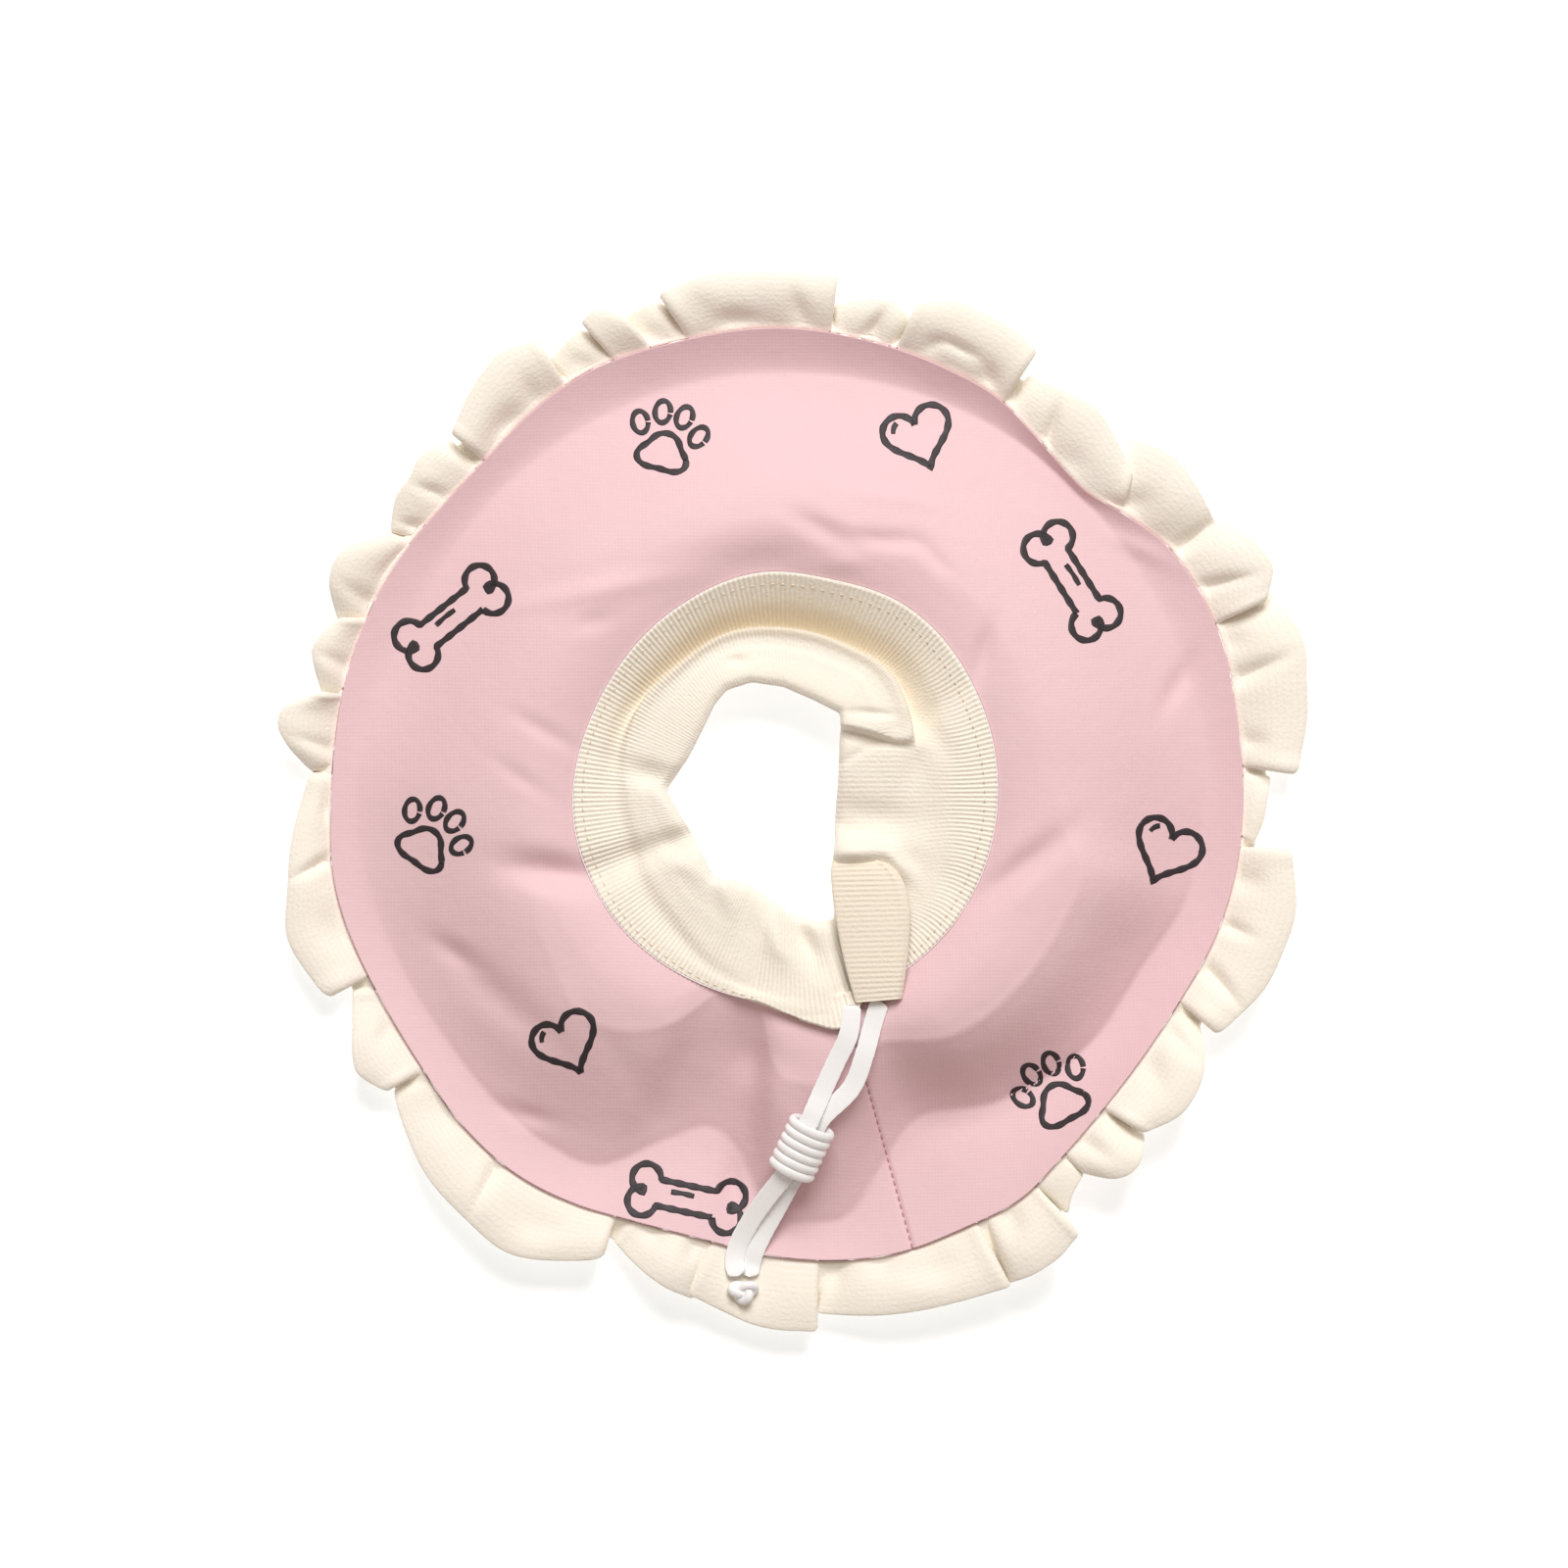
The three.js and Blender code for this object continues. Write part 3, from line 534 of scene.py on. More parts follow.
LEFT_STRAND = [
    (16.5, -52.8, 22.7),
    (15.6, -60.5, 23.0),
    (12.4, -67.5, 22.2),
    (8.9, -75.2, 21.8),
    (6.15, -81.5, 22.2),
    (3.75, -86.6, 20.3),
    (1.35, -91.8, 18.4),
    (-1.05, -96.9, 16.4),
    (-5.2, -102.4, 13.8),
    (-9.4, -108.6, 11.4),
    (-12.6, -115.0, 10.0),
    (-13.4, -119.2, 10.4),
    (-12.4, -122.4, 12.2),
]
RIGHT_STRAND = [
    (23.6, -52.0, 21.4),
    (21.6, -58.5, 21.2),
    (19.7, -65.5, 21.5),
    (16.4, -74.0, 20.9),
    (8.55, -82.05, 20.8),
    (6.15, -87.2, 18.8),
    (3.75, -92.3, 16.9),
    (1.35, -97.5, 14.9),
    (-2.4, -104.8, 11.6),
    (-6.0, -111.4, 9.9),
    (-8.4, -116.6, 9.6),
    (-9.3, -120.0, 9.4),
    (-9.7, -122.7, 10.5),
]


def make_strand(name, route, replaced, material):
    """A flat elastic: a rounded strip, a superellipse in section, carried along its route and capped."""
    steps, sides = 120, 24
    points = np.array(route, dtype=float)
    places = root_places(points)
    line, length = even_points(places, points, np.linspace(0, places[-1], 40 * steps), steps)
    across, upper = flat_frames(np.gradient(line, axis=0))
    turn = np.linspace(0, 2 * np.pi, sides, endpoint=False)
    wide, high = superellipse(turn, STRIP_WIDTH / 2, CORD_THICKNESS / 2, power=0.28)
    distance = np.linspace(0, length, steps)
    edge_unevenness, edge_frequency = 0.015, 2.4
    edge_wave = 1 + edge_unevenness * np.sin(distance * edge_frequency)
    closing = np.ones(steps)
    closing[[0, -1]] = 0.02
    closing[[1, -2]] = 0.8
    size = (edge_wave * closing)[:, None, None]
    points = line[:, None] + size * section_at(across, upper, wide, high)
    sides_run = np.cumsum(np.hypot(np.diff(wide, append=wide[0]), np.diff(high, append=high[0])))
    quads = grid_quads(steps, sides, ring_rows=False)
    cloth = grid_cloth(distance, np.concatenate([[0], sides_run]))
    points, quads, cloth = close_ends(points, quads, cloth)
    piece = add_piece(name, points, quads, material, replaced, cloth)
    return piece, line, length


LOCK_LENGTH = 14.8
LOCK_WIDTH = 12.5
LOCK_HEIGHT = 8.0
LOCK_RIDGES = 6
RIDGE_DEPTH = 0.9
# Half the width and height of the slot for the two strands, and how far its straight part is from the ends.
SLOT_HALF = (3.75, 1.75)
MOUTH_DEPTH = 0.6


def make_cord_lock(material):
    """A ridged oval barrel with a rounded slot through it: a profile along the axis, over the ridges, in
    through one mouth and back through the slot, carried round the axis."""
    sideways, upwards = flat_frames(LOCK_AXIS)
    turns, ridge_steps = 96, 16
    turn = np.linspace(0, 2 * np.pi, turns, endpoint=False)[:, None]
    place = np.linspace(0, 1, LOCK_RIDGES * ridge_steps + 1)
    swell = np.abs(np.sin(np.pi * LOCK_RIDGES * place)) ** 0.6
    radius = 1 - RIDGE_DEPTH / (LOCK_WIDTH / 2) * (1 - swell)
    radius[0] = radius[-1] = 1 - 1.3 * RIDGE_DEPTH / (LOCK_WIDTH / 2)
    inside = np.linspace(0.5, -0.5, 12) * (LOCK_LENGTH - 2 * MOUTH_DEPTH)
    flare = 1 + 0.12 * np.abs(inside / inside.max()) ** 8
    slot_x, slot_y = superellipse(turn, *SLOT_HALF, power=0.5)
    x = np.concatenate([radius * (LOCK_WIDTH / 2 * np.cos(turn)), slot_x * flare], axis=1)
    y = np.concatenate([radius * (LOCK_HEIGHT / 2 * np.sin(turn)), slot_y * flare], axis=1)
    run = np.concatenate([(place - 0.5) * LOCK_LENGTH, inside])[None, :, None]
    points = LOCK_CENTRE + x[..., None] * sideways + y[..., None] * upwards + run * unit(LOCK_AXIS)
    quads = grid_quads(*points.shape[:2])
    return add_piece("ridged_cord_lock", points, quads, material, ("cord_lock",))


KNOT_SPREAD = np.array([1.05, 0.8, 0.95])
KNOT_SQUASH = np.array([1.0, 0.95, 0.95])


def make_knot(material):
    """The drawcord's knot: a trefoil tube, pressed into a lump."""
    steps, sides = 220, 20
    turn = np.linspace(0, 2 * np.pi, steps, endpoint=False)
    trefoil = [np.sin(turn) + 2 * np.sin(2 * turn), np.cos(turn) - 2 * np.cos(2 * turn), -np.sin(3 * turn)]
    line = np.stack(trefoil, axis=-1) * KNOT_SPREAD
    tangent = unit(np.roll(line, -1, 0) - np.roll(line, 1, 0))
    across = unit(np.cross(tangent, line - line.mean(axis=0)))
    section = np.linspace(0, 2 * np.pi, sides, endpoint=False)
    radius = 1.15
    ring = section_at(across, np.cross(across, tangent), np.cos(section), np.sin(section))
    points = KNOT_CENTRE + (line[:, None] + radius * ring) * KNOT_SQUASH
    quads = grid_quads(steps, sides)
    cord_run, cord_girth = 30, 7.2
    cloth = grid_cloth(np.linspace(0, cord_run, steps + 1), np.linspace(0, cord_girth, sides + 1))
    return add_piece("tied_knot", points, quads, material, ("cord_knot",), cloth)


# The padded cone

RIM_OUTLINE = table(
    "at radius",
    [
        (0, 116.5), (10, 116.5), (20, 117.8), (28, 117.3), (34, 115.8), (40, 112.0), (46, 108.8),
        (50, 109.4), (56, 111.8), (62, 114.8), (70, 116.3), (80, 117.8), (90, 119.2), (104, 119.1),
        (116, 119.3), (124, 117.4), (131, 115.4), (139, 114.8), (148, 115.9), (160, 116.5), (180, 116.3),
        (192, 117.7), (200, 116.8), (206, 116.0), (216, 116.1), (226, 118.1), (234, 118.7), (243, 117.2),
        (250, 115.3), (259, 115.0), (267, 117.2), (275, 119.0), (283, 120.0), (292, 119.1), (301, 118.4),
        (306, 116.1), (313, 113.8), (320, 112.6), (332, 112.9), (342, 115.1), (350, 116.1),
    ],
)
NECK_OUTLINE = table(
    "at radius",
    [
        (0, 53.7), (25, 54.7), (60, 57.0), (78, 56.3), (97, 57.3), (120, 55.5), (150, 53.7), (190, 54.7),
        (215, 54.0), (245, 52.7), (290, 53.5), (330, 53.5),
    ],
)
# The section from the neck seam to the rim, at shares of the way across: the padding's thickness as a share
# of PAD.
PANEL_SECTION = table(
    "across pad",
    [
        (0, 0.7), (0.02, 0.85), (0.06, 0.95), (0.11, 1.0), (0.3, 1.02), (0.6, 1.0), (0.84, 1.02), (0.91, 1.1),
        (0.96, 1.1), (1, 0.75),
    ],
)
# The upper fabric round the cone: its height at the neck seam and at its crest, where its slope starts at
# the brow, where it ends at the foot, how straight the slope is between them, from 0 for a soft curve to 1
# for a plane with tight bends, and its heights at the foot and the rim.
PANEL_SLOPE = table(
    "at seam crest brow foot straight low rim",
    [
        (0, 19.2, 21.8, 68, 107, 0.2, 5.4, 8.6), (20, 20.2, 21.6, 67, 107, 0.2, 5.6, 8.4),
        (40, 20.6, 21.6, 68, 107, 0.3, 6.0, 9.0), (60, 19.8, 21.6, 70, 108, 0.3, 6.4, 10.6),
        (78, 18.4, 21.6, 71, 108, 0.3, 6.6, 12.0), (105, 18.4, 21.6, 71, 108, 0.2, 6.6, 11.8),
        (130, 19.2, 21.6, 70, 107, 0.2, 6.4, 10.2), (160, 18.6, 21.6, 68, 106, 0.1, 5.8, 8.2),
        (180, 18.4, 21.6, 68, 110, 0.1, 6.8, 7.8), (200, 18.0, 21.4, 70, 108, 0.2, 5.8, 7.8),
        (215, 18.2, 21.6, 73, 107, 0.5, 5.4, 8.4), (229, 18.4, 21.4, 76, 108, 0.8, 5.2, 9.2),
        (236, 18.4, 21.2, 72, 108, 0.85, 5.0, 9.4), (243, 18.4, 20.6, 65, 106, 0.9, 4.6, 9.6),
        (250, 18.4, 18.6, 54, 94, 0.9, 4.4, 10.6), (257, 18.4, 18.0, 52, 87, 0.9, 4.0, 11.6),
        (263, 18.4, 18.6, 54, 93, 0.85, 4.6, 10.0), (267.5, 18.4, 20.3, 69, 107, 0.8, 5.4, 9.2),
        (273, 18.4, 20.7, 73, 109, 0.8, 5.6, 9.0), (278, 18.4, 20.9, 73, 108.5, 0.8, 5.4, 9.2),
        (284, 18.4, 20.8, 68, 98, 0.8, 5.0, 9.8), (290, 18.4, 20.9, 67, 90, 0.9, 4.4, 10.6),
        (305, 18.4, 24.0, 74, 95, 0.9, 3.6, 13.8), (320, 18.4, 24.2, 76, 100, 0.9, 3.6, 13.4),
        (335, 18.4, 23.0, 77, 101, 0.9, 4.4, 10.6), (346, 18.6, 22.4, 77, 105.5, 0.8, 5.0, 9.4),
        (353, 18.8, 22.0, 71, 106, 0.4, 5.2, 8.8),
    ],
)
CREST_WIDTH = 13.0
PAD = 6.0
# Dents where the padding gives: angle and radius of the middle, half length and half width, the turn of its
# length from the tangent, and depth, all in millimetres and degrees.
PANEL_DENTS = table(
    "at radius along wide turn deep",
    [
        (83, 68.5, 8, 2.8, -20, 1.3),
        (68, 70, 9, 2.4, 18, 1.3),
        (58, 71, 6, 2.0, -12, 0.8),
        (98, 60, 12, 4.0, 0, 0.9),
        (76, 61, 5, 2.6, 10, -0.6),
        (36, 62, 8, 2.6, -50, 1.4),
        (137, 75, 24, 3.0, -37, -1.1),
        (141, 81, 24, 4.0, -35, 0.6),
        (138, 66, 5, 2.4, -33, 0.7),
        (69, 81, 13, 2.4, 12, -0.5),
        (105, 92, 16, 2.8, 35, -0.4),
        (165, 64, 9, 2.2, 75, 0.7),
        (176, 68, 9, 2.0, 60, 0.5),
        (198.5, 61.5, 12, 4.2, 62, 4.2),
        (205.5, 93.5, 7, 2.6, 31, 1.1),
        (216, 89, 18, 4.6, 14, 1.6),
        (231, 105, 7, 2.4, 24, 1.2),
        (238, 80, 18, 4.0, -22, 0.5),
        (262, 100, 2.6, 7.0, 10, 1.4),
        (264, 67, 8, 7, 0, 2.0),
        (342.5, 62, 14, 3.4, -34, 2.4),
        (35, 110, 8, 2.2, 29, -0.7),
        (16, 104, 8, 2.4, -46, 1.1),
        (47, 112, 10, 4.0, 0, 0.8),
    ],
)
# The closing seam's angle, its groove's half width and depth, and the height of the fabric's slack ripples.
CLOSING_SEAM = 285.5
CLOSING_SEAM_WIDTH = 0.55
CLOSING_SEAM_DEPTH = 0.5
RIPPLE_HEIGHT = 0.2
SLACK_WAVES = noise_wave(3, 8, 5, 23)
# Degrees between the cone's lines, how far from the closing seam they are closer, and how close.
PANEL_STEP = 0.6
NEAR_SEAM = 2.1
NEAR_SEAM_STEP = 0.15


def rim_at(angle):
    """The radius of the rim's seam."""
    return around(RIM_OUTLINE, "radius", angle)


def neck_at(angle):
    """The radius of the neck seam."""
    return around(NECK_OUTLINE, "radius", angle)


def across_panel(share, angle):
    """The radius at a share of the way from the neck seam to the rim."""
    return neck_at(angle) + share * (rim_at(angle) - neck_at(angle))


def dent_depth(radius, angle):
    """How far the padding is pressed down by all its dents."""
    turn = np.radians(angle)
    x, y = radius * np.cos(turn), radius * np.sin(turn)
    depth = np.zeros(np.broadcast(radius, angle).shape)
    for dent in PANEL_DENTS:
        at = math.radians(dent["at"])
        heading = at + math.pi / 2 + math.radians(dent["turn"])
        depth += bell(x - dent["radius"] * math.cos(at), y - dent["radius"] * math.sin(at), heading, dent)
    return depth


def cone_top(radius, angle):
    """The undented upper fabric: up from the neck seam to the crest, down a slope from the brow to the foot,
    and up once more from there to the rim's seam."""
    inner, outer = neck_at(angle), rim_at(angle)
    seam, crest, brow, foot, straight, low, rim = (
        around(PANEL_SLOPE, name, angle) for name in PANEL_SLOPE.dtype.names[1:]
    )
    roll = np.clip((radius - inner) / CREST_WIDTH, 0, 1)
    crown = seam + (crest - seam) * (1 - (1 - roll) ** 1.9)
    share = (radius - brow) / (foot - brow)
    bend = 0.16
    plane = np.clip(share, 0, 1)
    plane += bend / 4 * (np.exp(-((share / bend) ** 2)) - np.exp(-(((share - 1) / bend) ** 2)))
    fall = straight * plane + (1 - straight) * ease(share, -0.1, 1.1)
    floor = low + (rim - low) * np.clip((radius - foot) / (outer - foot), 0, 1) ** 1.3
    return crown + (floor - crown) * fall


def cone_under(share, angle):
    """The underside: the padding's thickness below the undented top, and flat where it meets the floor."""
    padding = PAD * smooth_between(PANEL_SECTION["across"], PANEL_SECTION["pad"], share)
    return np.maximum(0, cone_top(across_panel(share, angle), angle) - padding)


def panel_top(share, angle):
    """The upper fabric's height: the cone's, less the dents and the sunken closing seam, with faint
    ripples."""
    radius = across_panel(share, angle)
    off_seam = (np.mod(angle - CLOSING_SEAM + 180, 360) - 180) * np.pi / 180 * radius
    groove = CLOSING_SEAM_DEPTH * np.exp(-((off_seam / CLOSING_SEAM_WIDTH) ** 2))
    slack = wave_sum(SLACK_WAVES, angle + 0.35 * radius)
    ripple = RIPPLE_HEIGHT * slack * ease(share, 0, 0.15) * ease(share, 1, 0.8)
    return cone_top(radius, angle) - dent_depth(radius, angle) - groove + ripple


def panel_height(x, y):
    """The upper fabric's height at places on it."""
    angle = np.degrees(np.arctan2(y, x))
    radius = np.hypot(x, y)
    share = (radius - neck_at(angle)) / (rim_at(angle) - neck_at(angle))
    return panel_top(np.clip(share, 0, 1), angle)


def panel_angles():
    """Even angles round the cone, with closer ones at the closing seam."""
    even = np.arange(0, 360, PANEL_STEP)
    near = CLOSING_SEAM + np.arange(-NEAR_SEAM, NEAR_SEAM + 0.01, NEAR_SEAM_STEP)
    clear = np.abs(even - CLOSING_SEAM) > NEAR_SEAM + 0.05
    return np.sort(np.concatenate([even[clear], near]))


def make_panel(material):
    """The cone's two fabrics as one closed ring: over the top from the neck seam to the rim, in lines that
    are closer at the seams, and back under."""
    top_rows, under_rows = 90, 34
    crowding = 0.6
    angle = panel_angles()[:, None]
    top_share = 0.5 - 0.5 * np.cos(np.linspace(0, np.pi, top_rows))[None]
    top_share = crowding * top_share + (1 - crowding) * np.linspace(0, 1, top_rows)[None]
    under_share = np.linspace(1, 0, under_rows)[None]
    top = polar(across_panel(top_share, angle), angle, panel_top(top_share, angle))
    radius = across_panel(under_share, angle)
    under_height = np.maximum(0, cone_under(under_share, angle) - np.maximum(0, dent_depth(radius, angle)))
    under = polar(radius, angle, under_height)
    points = np.concatenate([top, under], axis=1)
    quads = grid_quads(*points.shape[:2])
    piece = add_piece("padded_cone", points, quads, material, ("cone_panel",))
    return piece


# The gathered ruffle

RUFFLE_THICKNESS = 1.25
# Each fold: the angles of its two edges, the free edge's radius at five even places between them, its height
# over the rim's seam and where its top is between the edges, the radius and depth of the hollow after it,
# the degrees by which that hollow runs back under this fold (or, below zero, on under the next one), and how
# much further on the fold ends at the seam than at its free edge.
FOLDS = table(
    "start end r0 r1 r2 r3 r4 high peak after dip tuck lean",
    [
        (2.8, 22.6, 129.5, 133.2, 135.3, 137, 133.5, 5.4, 0.6, 129.5, 2.5, -0.9, -0.6),
        (22.4, 31.9, 131.5, 136.1, 136, 134.8, 131.4, 6.2, 0.3, 129.6, -0.9, 0, -0.6),
        (33.0, 46.4, 129.4, 130.2, 130.8, 129.6, 125.5, 5.6, 0.45, 120.5, 1.5, -0.6, -3.2),
        (43.0, 59.8, 119.8, 123.2, 125.8, 124.6, 123.4, 4.2, 0.5, 122.5, 2.5, -1.6, 0.2),
        (60.9, 75.0, 129.2, 131.6, 132.2, 132.6, 129, 6.4, 0.5, 124.5, 3.0, 1.5, 1.4),
        (75.6, 84.2, 125.2, 128, 128.2, 127, 125.6, 3.4, 0.35, 125.3, 2.5, -1.4, -0.4),
        (84.7, 104.0, 132.2, 132.7, 133.1, 133.6, 131.2, 6.0, 0.6, 129.6, 1.0, 1.0, -1.5),
        (104.6, 108.6, 130.4, 129.8, 129.2, 128.9, 128.6, 1.6, 0.35, 128.2, 0.6, -0.6, -2.2),
        (109.2, 113.2, 129.8, 131.5, 132.3, 132.2, 131, 5.6, 0.55, 129.4, 1.0, 1.0, -1.8),
        (113.8, 118.2, 129.6, 128.9, 128.1, 127.3, 126.6, 1.4, 0.35, 126.2, 2.0, -1.4, -0.8),
        (118.9, 132.5, 131.4, 133.9, 132.2, 129.2, 125.4, 6.4, 0.4, 123.2, 4.0, 1.4, -0.4),
        (133.7, 145.9, 124.6, 127, 125.4, 124.9, 121.4, 4.0, 0.35, 121, 1.0, 0, -0.8),
        (146.8, 158.4, 121.8, 127.2, 129.4, 127.6, 122.6, 6.0, 0.5, 121.8, 1.5, -0.8, -1.2),
        (158.4, 167.3, 122.0, 125, 126.2, 124, 121.2, 4.8, 0.45, 120.8, 2.0, -1.0, -0.6),
        (167.7, 176.6, 121.6, 129.4, 130.4, 127, 121.8, 6.4, 0.4, 121, 1.0, 0, -0.8),
        (177.6, 203.4, 121.4, 125.8, 129, 132, 127.2, 5.0, 0.65, 121.6, 3.0, 0.9, 0.4),
        (204.6, 216.2, 121.4, 124.4, 128, 129.8, 126.4, 4.6, 0.7, 124.8, 1.2, 0.6, 0.8),
        (217.2, 247.9, 125.2, 132, 134.8, 135.3, 126.2, 5.2, 0.6, 121.6, 2.5, 0.9, 0.6),
        (249.2, 259.3, 121.8, 124.6, 127, 128.8, 129.8, 4.0, 0.7, 128, 1.0, -0.8, 0.9),
        (259.1, 273.0, 129.0, 131.6, 134.4, 135.8, 136.1, 3.0, 0.6, 131.6, 1.5, 0.9, 1.0),
        (273.6, 294.3, 131.8, 133.6, 134.8, 135.6, 136.6, 5.0, 0.6, 135.2, 0.5, 0.7, 0.2),
        (294.5, 303.5, 135.8, 136.4, 136.2, 135.4, 133.4, 5.2, 0.35, 127, 2.2, 1.0, -1.0),
        (304.0, 307.8, 127.5, 125.4, 124, 123, 122.2, 1.0, 0.4, 121.8, 1.5, 0, -0.6),
        (308.4, 316.3, 122.0, 127.2, 129.2, 128.4, 125, 5.8, 0.5, 123.2, 2.0, -1.0, -1.6),
        (316.8, 330.6, 124.2, 127.9, 128.2, 126, 120.4, 5.6, 0.45, 120.6, 2.0, -0.8, 0.6),
        (331.4, 353.7, 124.8, 130, 131.9, 132.2, 128.4, 5.8, 0.6, 120.5, 4.0, 1.4, 0.2),
        (354.6, 362.0, 119.6, 121, 121.8, 122.3, 123, 1.4, 0.5, 122.8, 2.8, -1.2, 0.6),
    ],
)
# Soft dents and sharper creases of the strip: the angle and the share of the way across of the middle, half
# width in degrees, half length in shares of the way across, depth, and how much further on its rim end is.
STRIP_DENTS = table(
    "at out wide long deep lean",
    [
        (6.5, 0.2, 1.0, 0.22, 1.2, 1.0), (14.8, 0.3, 1.0, 0.36, 2.6, -1.6), (19, 0.15, 1.2, 0.2, 0.9, 0),
        (26.2, 0.25, 0.8, 0.34, 2.4, 1.8), (32.3, 0.3, 0.7, 0.4, 2.2, -1.2),
        (40.5, 0.15, 1.6, 0.22, 1.6, 2.6), (49, 0.2, 1.6, 0.2, 0.8, 1), (54.2, 0.3, 0.8, 0.42, 2.4, -2.2),
        (64.2, 0.2, 1.2, 0.16, 1.6, -1.5), (69, 0.36, 2.6, 0.1, 1.6, 0), (72, 0.24, 1.0, 0.14, 1.2, 1.5),
        (79.6, 0.3, 0.9, 0.42, 2.4, 1.8), (88.6, 0.35, 1.2, 0.3, 1.6, -1.4), (96, 0.2, 2.0, 0.16, 1.9, -2),
        (100, 0.5, 1.6, 0.3, 0.8, -2), (106, 0.3, 1.2, 0.4, 1.0, -1.6), (115.5, 0.3, 1.2, 0.4, 1.0, -1.6),
        (122.6, 0.2, 1.2, 0.24, 1.1, 1.4), (127.5, 0.2, 2.2, 0.2, 1.9, -2.0),
        (139.4, 0.4, 0.9, 0.36, 1.8, -1.4), (144.2, 0.3, 0.8, 0.36, 1.8, -1.2),
        (150, 0.1, 2.4, 0.14, 1.3, 0), (155, 0.3, 1.2, 0.4, 1.6, 1.0), (163.6, 0.3, 1.0, 0.4, 1.6, 0.8),
        (173.9, 0.3, 1.0, 0.4, 1.8, 1.2), (182, 0.2, 1.4, 0.2, 1.2, 1), (188.4, 0.35, 0.8, 0.42, 2.8, -1.8),
        (197, 0.2, 2.0, 0.22, 1.3, 1.6), (210.5, 0.25, 1.2, 0.25, 1.3, -1.2), (223, 0.2, 2, 0.22, 1.2, 1.2),
        (232.2, 0.3, 0.8, 0.42, 2.2, -1.2), (240, 0.5, 3.4, 0.26, 1.6, -1.2), (253, 0.2, 1.4, 0.22, 1.2, 1),
        (258.2, 0.2, 1.0, 0.24, 1.6, 1.2), (265, 0.5, 2.6, 0.5, 1.4, 0), (275.8, 0.25, 1.1, 0.3, 2.0, 1.8),
        (287.5, 0.42, 3.2, 0.24, 1.6, -1.6), (281.5, 0.15, 1.4, 0.2, 1.1, 0.8),
        (298, 0.2, 1.3, 0.25, 1.3, 1.6), (311, 0.25, 1.0, 0.3, 1.5, -1.6), (323, 0.25, 1.6, 0.25, 1.5, 1.8),
        (328, 0.4, 1.0, 0.4, 1.2, 1.4), (336.8, 0.35, 0.9, 0.42, 2.8, 3.2),
        (343.4, 0.2, 0.8, 0.26, 2.2, 0.8), (349.5, 0.25, 1.4, 0.25, 1.2, -1.2),
    ],
)
# The share of its height that a fold's edge keeps: at an open valley, over a hollow tucked under it, and
# where it comes out from under the next fold.
EDGE_HELD = {0: 0.25, 1: 0.9, -1: 0.0}
# The waves of the small gathers at the rim and of the ripples farther out, and their heights.
GATHER_WAVES, GATHER_HEIGHT = noise_wave(7, 9, 50, 120), 0.5
FRILL_WAVES, FRILL_HEIGHT = noise_wave(11, 7, 24, 70), 0.6


def ruffle_lines():
    """For each line of the ruffle from seam to free edge: its angle at the seam, its angle and radius at the
    free edge, and its height over or depth under the seam. A fold's top is an arch between its two edges. Its
    edge is high where a hollow is tucked under it, low where it comes out from under the next, and between
    where the two meet in an open valley."""
    crest_places = np.array([0, 0.1, 0.3, 0.5, 0.7, 0.9, 1])
    given_places = np.array([0, 0.25, 0.5, 0.75, 1])
    gather = 0.05
    lines = []
    for index, fold in enumerate(FOLDS):
        before = FOLDS[index - 1]
        following = FOLDS[(index + 1) % len(FOLDS)]
        next_start = following["start"] + (360 if index + 1 == len(FOLDS) else 0)
        span = fold["end"] - fold["start"]
        seam_start = fold["start"] + before["lean"] + gather * span
        seam_end = fold["end"] + fold["lean"] - gather * span
        given = np.array([fold[name] for name in ("r0", "r1", "r2", "r3", "r4")])
        skewed = crest_places ** (math.log(0.5) / math.log(fold["peak"]))
        arch = 1 - np.abs(2 * skewed - 1) ** 2.4
        start_share = EDGE_HELD[-int(np.sign(before["tuck"]))]
        end_share = EDGE_HELD[int(np.sign(fold["tuck"]))]
        foot = start_share + (end_share - start_share) * crest_places
        height = fold["high"] * (foot + (1 - foot) * arch)
        lines.append(
            np.stack(
                [
                    seam_start + (seam_end - seam_start) * crest_places,
                    fold["start"] + crest_places * span,
                    smooth_between(given_places, given, crest_places),
                    height,
                ],
                axis=-1,
            )
        )
        seam_next = next_start + fold["lean"] + gather * (following["end"] - following["start"])
        gap = next_start - fold["end"]
        back, ahead = max(fold["tuck"], 0), max(-fold["tuck"], 0)
        lines.append(
            np.stack(
                [
                    seam_end + (seam_next - seam_end) * np.array([0.35, 0.65]),
                    np.array([fold["end"] + 0.3 * gap - back, next_start - 0.3 * gap + ahead]),
                    np.array([fold["after"], fold["after"]]) - 0.4 * abs(fold["tuck"]),
                    np.full(2, -fold["dip"]),
                ],
                axis=-1,
            )
        )
    return np.concatenate(lines)


def strip_dents(angle, across):
    """How far the strip is pressed in: for each dent a bell curve along the strip, wider near the rim, times
    one across it."""
    depth = np.zeros(angle.shape)
    for dent in STRIP_DENTS:
        middle = dent["at"] + dent["lean"] * (dent["out"] - across)
        off = (angle - middle[None] + 180) % 360 - 180
        along = np.exp(-((off / (dent["wide"] * (1.35 - 0.7 * across))) ** 2))
        depth += dent["deep"] * along * np.exp(-(((across - dent["out"]) / dent["long"]) ** 2))[None]
    return depth * ease(across, 0, 0.1)[None]


def closed_curve(points, steps):
    """Points evenly spaced along a smooth closed curve through the given ones."""
    count = len(points)
    looped = np.concatenate([points[-3:], points, points[:3]])
    places = root_places(looped)
    fine = np.linspace(places[3], places[3 + count], 6 * steps)
    return even_points(places, looped, fine, steps, endpoint=False)


